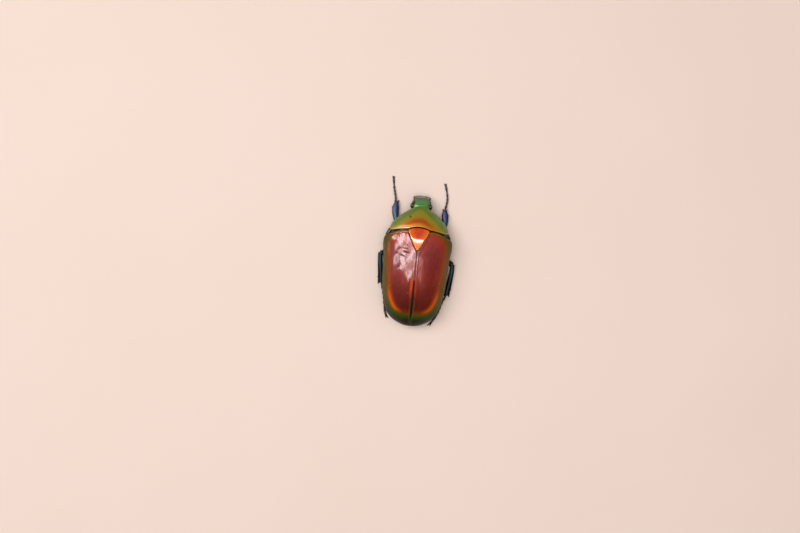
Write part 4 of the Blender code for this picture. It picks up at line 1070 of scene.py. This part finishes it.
def make_scutellum(finish):
    """Long triangle level with the wing cases, swollen across, its sides and front rolled down."""
    shares = np.linspace(0, 1, SCUTELLUM_GRID[0])
    middle = along(SCUTELLUM_MIDDLE, shares)
    side = along(SCUTELLUM_SIDE, shares)
    across = wide_places(SCUTELLUM_GRID[1])
    x = side[:, :1] * across
    y = middle[:, :1] + (side[:, 1:2] - middle[:, :1]) * across**2
    sheet = np.stack((x, y, back_height(x, y)), axis=2)
    rim = np.minimum(arc_from(sheet, 1, last=True), arc_from(sheet, 1))
    front = arc_from(sheet, 0)
    sheet[..., 2] -= 0.05 * (1 - ramp(rim, 0.0, 0.3)) ** 2 + 0.12 * (1 - ramp(front, 0.0, 0.45)) ** 2
    swell_y, wide, height = SCUTELLUM_SWELLING
    sheet[..., 2] += height * bell(y - swell_y, wide)
    matt = 1 - ramp(y + 0.25 * np.cos(x * 1.6), 4.3, 5.0)
    body = Body()
    plate(body, sheet, lip=0.06, rim=np.minimum(rim, 3), tip=1 - ramp(y, 3.6, 5.2), matt=matt)
    body.make("scutellum", finish, "scutellum")


def with_front(rings, face, dome_power, belly_power):
    """Rings of a body with its front face before them, and rings that blend the two."""
    front_y, *edge, top, bottom = (np.array([value]) for value in face)
    edge = np.stack(edge, axis=1)
    front = body_rings(front_y, edge, top, bottom, dome_power, belly_power, rings.shape[1])
    blend = np.linspace(0, 1, 10, endpoint=False)[:, None, None]
    return np.concatenate((front + (rings[:1] - front) * blend, rings))


def make_prothorax(finish):
    """Front body ring under the pronotum, hollowed where the fore hips lie."""
    shares = np.linspace(*PROTHORAX_SHARES, PROTHORAX_GRID[0])
    line = along(PRONOTUM_MIDDLE, shares)[:, 0]
    middle, top = inset_back(PRONOTUM_MIDDLE[::-1], line, CORE_INSET)
    side = inset_edge(PRONOTUM_SIDE, shares, CORE_INSET + 0.1)
    side[:, 2] -= 0.35
    bottom = np.interp(shares, (0, 0.35, 0.7, 1), PROTHORAX_BELLY)
    domes = PRONOTUM_DOME, PROTHORAX_BELLY_DOME
    rings = body_rings(middle, side, top, bottom, *domes, PROTHORAX_GRID[1])
    rings = with_front(rings, PROTHORAX_FRONT, *domes)
    body = Body()
    rounded_loft(body, make_room(rings, "fore_left", "fore_right"), cap=0.12)
    body.make("prothorax", finish, "underside")


def hind_body_rings(shares, lift, belly_power, sides):
    """Rings of the body under the wing cases, kept clear of them."""
    inner = case_stations(shares)[0]
    side = inset_edge(CASE_MARGIN, shares, CORE_INSET)
    side[:, 2] -= 0.1
    middle, top = inset_back(BACK_LINE, inner[:, 1], CORE_INSET)
    bottom = read_fine(eased(BELLY_LINE, 0.25), side[:, 1])[:, 0] + lift
    return body_rings(middle, side, top, bottom, CASE_DOME, belly_power, sides)


def make_thorax(finish):
    """Middle body ring with a groove along its belly, a seam before the hind hips and a forward horn."""
    rows, sides = THORAX_GRID
    rings = hind_body_rings(np.linspace(*THORAX_SHARES, rows), 0.0, THORAX_BELLY_DOME, sides)
    rings = with_front(rings, THORAX_FRONT, CASE_DOME, THORAX_BELLY_DOME)
    x, y, z = np.moveaxis(rings, 2, 0)
    seam = 0.1 * bell(x, 0.1) * ramp(4.5 - y, 0, 1) + 0.12 * bell(y + 2.2 - 0.1 * np.abs(x), 0.09)
    rings[..., 2] = z + np.where(z < 2.5, seam, 0)
    rings = make_room(rings, "mid_left", "mid_right", "hind_left", "hind_right")
    rings[..., 2] = np.maximum(rings[..., 2], 0)
    body = Body()
    rounded_loft(body, rings, cap=0.12)
    rounded_loft(body, sweep_rings(along(STERNAL_HORN, np.linspace(0, 1, 40), 0.05), 40))
    body.make("thorax", finish, "underside")


def make_abdomen(finish):
    """Hind body whose belly segments overlap like tiles, with room for the hind plate."""
    rows, sides = ABDOMEN_GRID
    shares = np.linspace(*ABDOMEN_SHARES, rows)
    hindmost = len(BELLY_SEGMENTS) - 2
    span = np.clip(np.searchsorted(BELLY_SEGMENTS, shares, side="right") - 1, 0, hindmost)
    part = (shares - BELLY_SEGMENTS[span]) / (BELLY_SEGMENTS[span + 1] - BELLY_SEGMENTS[span])
    fall = np.where(span == hindmost, 0.5 * part**2, 0.15 * part**1.5)
    rings = hind_body_rings(shares, 0.15 - fall, ABDOMEN_BELLY_DOME, sides)
    levels = PYGIDIUM_ROWS[::-1]
    wall = np.interp(rings[..., 2], levels[:, 2], levels[:, 1]) + SHELL
    rings[..., 1] = np.maximum(rings[..., 1], wall + PYGIDIUM_WRAP * (rings[..., 0] / PYGIDIUM_HALF) ** 2)
    body = Body()
    rounded_loft(body, make_room(rings, "hind_left", "hind_right"), cap=0.02)
    body.make("abdomen", finish, "underside")


def make_pygidium(finish):
    """Bulging plate that closes the body behind, under the tips of the wing cases."""
    rows = along(PYGIDIUM_ROWS[:, [1, 2, 0]], np.linspace(0, 1, PYGIDIUM_GRID[0]), 0.05)
    across = wide_places(PYGIDIUM_GRID[1])
    x = rows[:, 2:3] * across
    y = rows[:, :1] + PYGIDIUM_WRAP * (x / PYGIDIUM_HALF) ** 2
    body = Body()
    plate(body, np.stack((x, y, rows[:, 1:2] + 0 * across), axis=2), lip=0.12)
    body.make("pygidium", finish, "underside")


def make_side_plate(name, side, finish):
    """Wedge between a hind corner of the pronotum and the shoulder; the left one lies further out."""
    path = along(SIDE_PLATE, np.linspace(0, 1, 36), 0.08)
    path[:, 0] = path[:, 0] * side - (SIDE_PLATE_LEFT if side < 0 else 0)
    rings = sweep_rings(path, 40, up=(side * SIDE_PLATE_OUT[0], SIDE_PLATE_OUT[1], 0), power=3.0)
    body = Body()
    rounded_loft(body, rings, cap=0.22)
    body.make(name, finish, "underside")


def add_ridge_and_palp(body, side):
    """The ridge before one eye, and the mouth feeler below it, ringed by waves in its thickness."""
    canthus = along(CANTHUS, np.linspace(0, 1, 24), 0.08) * (side, 1, 1, 1, 1)
    rounded_loft(body, sweep_rings(canthus, 20), cap=0.2, rim=0.8, front=0.3)
    palp = along(PALP_PATH, np.linspace(0, 1, 24), 0.08) * (side, 1, 1, 1, 1)
    palp[:, 3:] *= 1 + 0.15 * np.sin(np.linspace(0, 3 * 2 * np.pi, 24))[:, None]
    rounded_loft(body, sweep_rings(palp, 20), cap=0.2, rim=1.0, front=1.0)


def make_head(finish):
    """Flat-topped head whose clypeus is hollowed between raised sides and a raised front rim."""
    places = np.linspace(HEAD_SECTIONS[0, 0], HEAD_SECTIONS[-1, 0], HEAD_GRID[0])
    half, top, bottom = read_fine(eased(HEAD_SECTIONS, 0.1), places).T
    half = half - 0.42 * (1 - np.sqrt(1 - (ramp(places, 15.5, 15.9) * 0.98) ** 2))
    side = np.column_stack((half, places, bottom + (top - bottom) * 0.62))
    rings = body_rings(places, side, top, bottom, HEAD_DOME, HEAD_BELLY_DOME, HEAD_GRID[1])
    y, z = rings[..., 1], rings[..., 2]
    share = np.abs(rings[..., 0]) / half[:, None]
    above = z > side[:, 2:3]
    hollow = -0.14 * ramp(y, 13.9, 14.8) * (1 - ramp(share, 0.62, 0.86)) * (1 - ramp(y, 15.55, 15.8))
    brow = 0.05 * bell(share - 0.84, 0.06) * ramp(y, 13.2, 14.2)
    rings[..., 2] = z + np.where(above, hollow + brow, 0)
    lateral = ramp(share, 0.8, 0.93) * ramp(y, 13.6, 14.3)
    rim = np.maximum(lateral, ramp(y, 15.6, 15.8) * 0.25) * above
    body = Body()
    # The lower half of the head gets painted shade
    rounded_loft(body, rings, cap=0.14, rim=rim, front=ramp(y, 13.2, 15.6), under=1.0 - above)
    for side in (-1, 1):
        add_ridge_and_palp(body, side)
    body.make("head", finish, "head")


def make_eye(name, side, finish):
    """An egg set into the side of the head."""
    body = Body()
    egg(body, EYE_CENTRE * (side, 1, 1), EYE_RADII, 72)
    body.make(name, finish, "eye")


def make_feeler(name, side, finish):
    """Stalk of beads that ends in a club of three leaves laid side by side."""
    body = Body()
    share = np.linspace(0, 0.66, 90)
    path = along(FEELER_PATH, share, 0.03) * (side, 1, 1, 1, 1)
    beads = 1 - 0.16 * np.abs(np.cos(np.pi * 7 * (share - 0.18) / 0.48)) ** 6 * (share > 0.18)
    path[:, 3:] *= beads[:, None]
    rounded_loft(body, sweep_rings(path, 28), cap=0.18)
    club = along(FEELER_PATH, np.linspace(0.64, 1, 40), 0.03) * (side, 1, 1, 1, 1)
    swell = np.sin(np.linspace(0.15, np.pi - 0.3, 40)) ** 0.5
    for layer in (-1, 0, 1):
        leaf = club + (side * abs(layer) * 0.05, 0, layer * 0.2, 0, 0)
        leaf[:, 3:] = swell[:, None] * (0.4, 0.095)
        rounded_loft(body, sweep_rings(leaf, 28), cap=0.12)
    body.make(name, finish, "feeler")


def make_thigh(name, leg, finish):
    """Hip and thigh; the thigh is flattened."""
    body = Body()
    egg(body, *leg["coxa"], 48)
    rings = sweep_rings(along(leg["femur"], np.linspace(0, 1, 70), 0.06), 44, power=2.2)
    rings[..., 2] = np.maximum(rings[..., 2], 0.02)
    rounded_loft(body, rings, cap=0.3, **limb_paint(rings))
    body.make(f"{name}_femur", finish, "thigh")


def make_shin(name, leg, finish):
    """Flattened blade with a tooth on its outer edge, a corner tooth and two spurs at its end, and short
    bristles along its inner edge."""
    body = Body()
    shares = np.linspace(0, 1, SHIN_ROWS)
    path = along(leg["tibia"], shares, 0.05)
    if name.startswith("fore"):
        path[:, 3] *= 1 - 0.3 * ramp(shares, 0.7, 1.0)
    rings = sweep_rings(path, 48, power=2.3)
    rounded_loft(body, rings, cap=0.1, **limb_paint(rings))
    end = path[-1]
    heading = unit(path[-1, :3] - path[-8, :3])
    side = np.cross(heading, (0, 0, 1))
    side *= np.sign(side[0]) * leg["side"]
    # Spurs and teeth take part of the painted side shade
    for root_share, tip_share, sink in SPURS:
        root = end[:3] + side * end[3] * root_share - heading * SPUR_LENGTH * 0.5
        tip = end[:3] + side * end[3] * tip_share + heading * SPUR_LENGTH * 0.55 - (0, 0, end[4] * sink)
        radii = [SPUR_RADIUS, SPUR_RADIUS * 0.75, 0.05]
        horn(body, root, tip, heading * 0.08, radii, reach=1.0, edge=0.7)
    before = leg["tibia"][-2]
    root = before[:3] + side * before[3] * 0.5
    tip = before[:3] + side * (before[3] + 0.1) + heading * 0.5
    horn(body, root, tip, heading * 0.06, [0.3, 0.22, 0.08], reach=0.9, edge=0.8)
    for share in np.linspace(0.3, 0.88, 9):
        here = path[int(share * (SHIN_ROWS - 1))]
        root = here[:3] - side * here[3] * 0.9
        tip = root - side * 0.3 + heading * 0.38
        horn(body, root, tip, heading * 0.05, [0.035, 0.028, 0.01], 6, 5, reach=1.0)
    body.make(f"{name}_tibia", finish, "shin")


def add_foot_joint(body, leg, start, end):
    """One joint, flared towards its end over the root of the next, with a spine on either side."""
    share = np.linspace(0, 1, JOINT_ROWS)
    path = along(leg["tarsus"], start - 0.015 + (end - start + 0.01) * share, 0.04)
    if start == 0:
        path -= unit(path[-1] - path[0]) * 0.3 * (1 - share)[:, None]
    flare = 0.5 + 0.62 * share**1.5 - 0.3 * ramp(share, 0.84, 1.0)
    size = FOOT_RADIUS * flare[:, None]
    rings = sweep_rings(np.concatenate((path, size, size), axis=1), 20)
    rings[..., 2] = np.maximum(rings[..., 2], 0.0)
    # The end of each joint carries the painted pale highlight
    rounded_loft(body, rings, cap=0.06, joint=ramp(share, 0.78, 0.96)[:, None])
    heading = unit(path[-1] - path[-4])
    side = unit(np.cross(heading, (0, 0, 1)))
    for turn in (-1, 1):
        root = path[-4] + side * turn * 0.2
        tip = root + heading * 0.3 + side * turn * 0.14 - (0, 0, 0.05)
        # The spines are painted pale all over as highlight
        horn(body, root, tip, 0, [0.07, 0.05, 0.015], 7, 5, joint=1.0)


def make_foot(name, leg, finish):
    """Five joints and two hooked claws."""
    body = Body()
    for start, end in zip(FOOT_JOINTS[:-1], FOOT_JOINTS[1:]):
        add_foot_joint(body, leg, start, end)
    before, last = along(leg["tarsus"], (0.9, 1.0), 0.04)
    heading = unit(last - before)
    for tip in leg["claws"]:
        radii = [CLAW_RADIUS * 0.8, CLAW_RADIUS * 0.7, 0.05]
        horn(body, last - heading * 0.35, tip, heading * 0.295 + (0, 0, 0.12), radii)
    body.make(f"{name}_tarsus", finish, "foot")


# Floor, camera and light, in metres

FLOOR_HALF = 1.5
FRAME_WIDTH = 0.1953
FRAME_CENTRE = (-0.00378, -0.00172, 0.0055)
CAMERA_UP = (-0.0976, 0.9952, 0.0)
CAMERA_DISTANCE = 0.5
SENSOR = 36.0

# Lights: name, place, size, turn in degrees, brightness, colour, and whether it lights and shows in gloss
WINDOW_SIZE = (0.74, 0.28)
LIGHTS = (
    ("window", (-0.24, 0.06, 0.62), WINDOW_SIZE, -22, 5.6, (1.0, 0.985, 0.97), True, False),
    ("window_gloss", (-0.24, 0.06, 0.61), WINDOW_SIZE, -22, 7.2, (1.0, 0.98, 0.965), False, True),
    ("far_window", (-1.06, 0.21, 0.38), (1.3, 0.4), 0, 5.4, (0.97, 0.96, 1.0), False, True),
    ("fill", (0.22, 0.06, 0.7), (1.0, 1.0), 0, 0.72, (1.0, 0.92, 0.88), True, False),
)
ROOM_COLOUR = (0.9, 0.88, 0.86, 1)
ROOM_STRENGTH = 0.13


def make_floor():
    """Plain pale floor."""
    corners = [(x * FLOOR_HALF, y * FLOOR_HALF, 0) for x, y in ((-1, -1), (1, -1), (1, 1), (-1, 1))]
    mesh = bpy.data.meshes.new("floor")
    mesh.from_pydata(corners, [], [(0, 1, 2, 3)])
    made = Finish("pale_floor", Roughness=0.75)
    made.wear(Base_Color=made.layers(srgb(234, 212, 200), (made.noise(0.02, 2.0), 240, 220, 208)))
    mesh.materials.append(made.material)
    floor = bpy.data.objects.new("floor", mesh)
    bpy.context.scene.collection.objects.link(floor)


def make_camera():
    """Straight above, turned so that the beetle leans as it does in the photograph."""
    data = bpy.data.cameras.new("camera")
    data.sensor_width = SENSOR
    data.lens = SENSOR * CAMERA_DISTANCE / FRAME_WIDTH
    data.clip_start = 0.01
    camera = bpy.data.objects.new("camera", data)
    up = Vector(CAMERA_UP).normalized()
    back = Vector((0, 0, 1))
    across = up.cross(back)
    turn = Matrix((across, up, back)).transposed().to_4x4()
    camera.matrix_world = Matrix.Translation(Vector(FRAME_CENTRE) + back * CAMERA_DISTANCE) @ turn
    bpy.context.scene.collection.objects.link(camera)
    bpy.context.scene.camera = camera


def make_light(name, place, size, turn, radiance, colour, fills, shines):
    """A soft rectangular light that faces down, its power found from its brightness and size. It may
    light surfaces without showing in their gloss, or show there only."""
    data = bpy.data.lights.new(name, "AREA")
    data.shape = "RECTANGLE"
    data.size, data.size_y = size
    data.energy = radiance * math.pi * size[0] * size[1]
    data.color = colour
    light = bpy.data.objects.new(name, data)
    light.location = place
    light.rotation_euler[2] = math.radians(turn)
    light.visible_diffuse = fills
    light.visible_glossy = shines
    bpy.context.scene.collection.objects.link(light)


def make_lights():
    """A bright window above and left of the beetle, whose light and whose image in the gloss are set
    apart, the image of a window beyond it, a soft fill, and even light all round."""
    for light in LIGHTS:
        make_light(*light)
    world = bpy.data.worlds.new("room_light")
    world.use_nodes = True
    background = world.node_tree.nodes["Background"]
    background.inputs["Color"].default_value = ROOM_COLOUR
    background.inputs["Strength"].default_value = ROOM_STRENGTH
    bpy.context.scene.world = world
    bpy.context.scene.view_settings.view_transform = "Standard"


def both_sides(make, name, finish):
    """A piece on either side of the body."""
    for word, side in (("left", -1), ("right", 1)):
        make(f"{name}_{word}", side, finish)


def make_legs():
    """Thigh, shin and foot of each leg; the fore shins are bluer than the others."""
    # The first colour of each is the painted shade along the sides
    thigh = limb_finish("thigh_cuticle", (12, 16, 14), (0.0, 20, 40, 34), (1.0, 14, 30, 30))
    fore = limb_finish(
        "fore_shin_cuticle", (28, 24, 46), (0.0, 64, 84, 104), (0.3, 24, 70, 84), (0.5, 34, 50, 92),
        (0.85, 40, 46, 94), (1.0, 30, 22, 42),
    )
    rear = limb_finish(
        "shin_cuticle", (6, 9, 9), (0.0, 9, 15, 15), (0.2, 12, 44, 44), (0.42, 9, 30, 34), (0.58, 6, 8, 10),
        (1.0, 5, 5, 7), shine=0.1,
    )
    foot = foot_finish()
    for name, leg in LEGS.items():
        make_thigh(name, leg, thigh)
        make_shin(name, leg, fore if name.startswith("fore") else rear)
        make_foot(name, leg, foot)


def main():
    """Every piece in its place, then floor, camera and light."""
    both_sides(make_wing_case, "wing_case", case_finish())
    make_pronotum(pronotum_finish())
    make_scutellum(scutellum_finish())
    dark = plain_cuticle("underside_cuticle", (22, 34, 22), (36, 54, 30), 0.5)
    make_prothorax(dark)
    make_thorax(dark)
    make_abdomen(dark)
    make_pygidium(plain_cuticle("pygidium_cuticle", (16, 22, 14), (28, 38, 22), 0.3, pitted=1.6))
    green = plain_cuticle("side_plate_cuticle", (14, 22, 10), (30, 50, 20), 0.25, pitted=1.8)
    both_sides(make_side_plate, "mesepimeron", green)
    make_head(head_finish())
    eye = plain_cuticle("eye_lens", (34, 20, 14), (46, 28, 20), 0.25, 0.4, 0.0, 9.0, FINE_RELIEF)
    both_sides(make_eye, "eye", eye)
    feeler = plain_cuticle("feeler_cuticle", (52, 28, 20), (72, 40, 26), 0.4, 0.4, 0.0)
    both_sides(make_feeler, "antenna", feeler)
    make_legs()
    make_floor()
    make_camera()
    make_lights()


main()
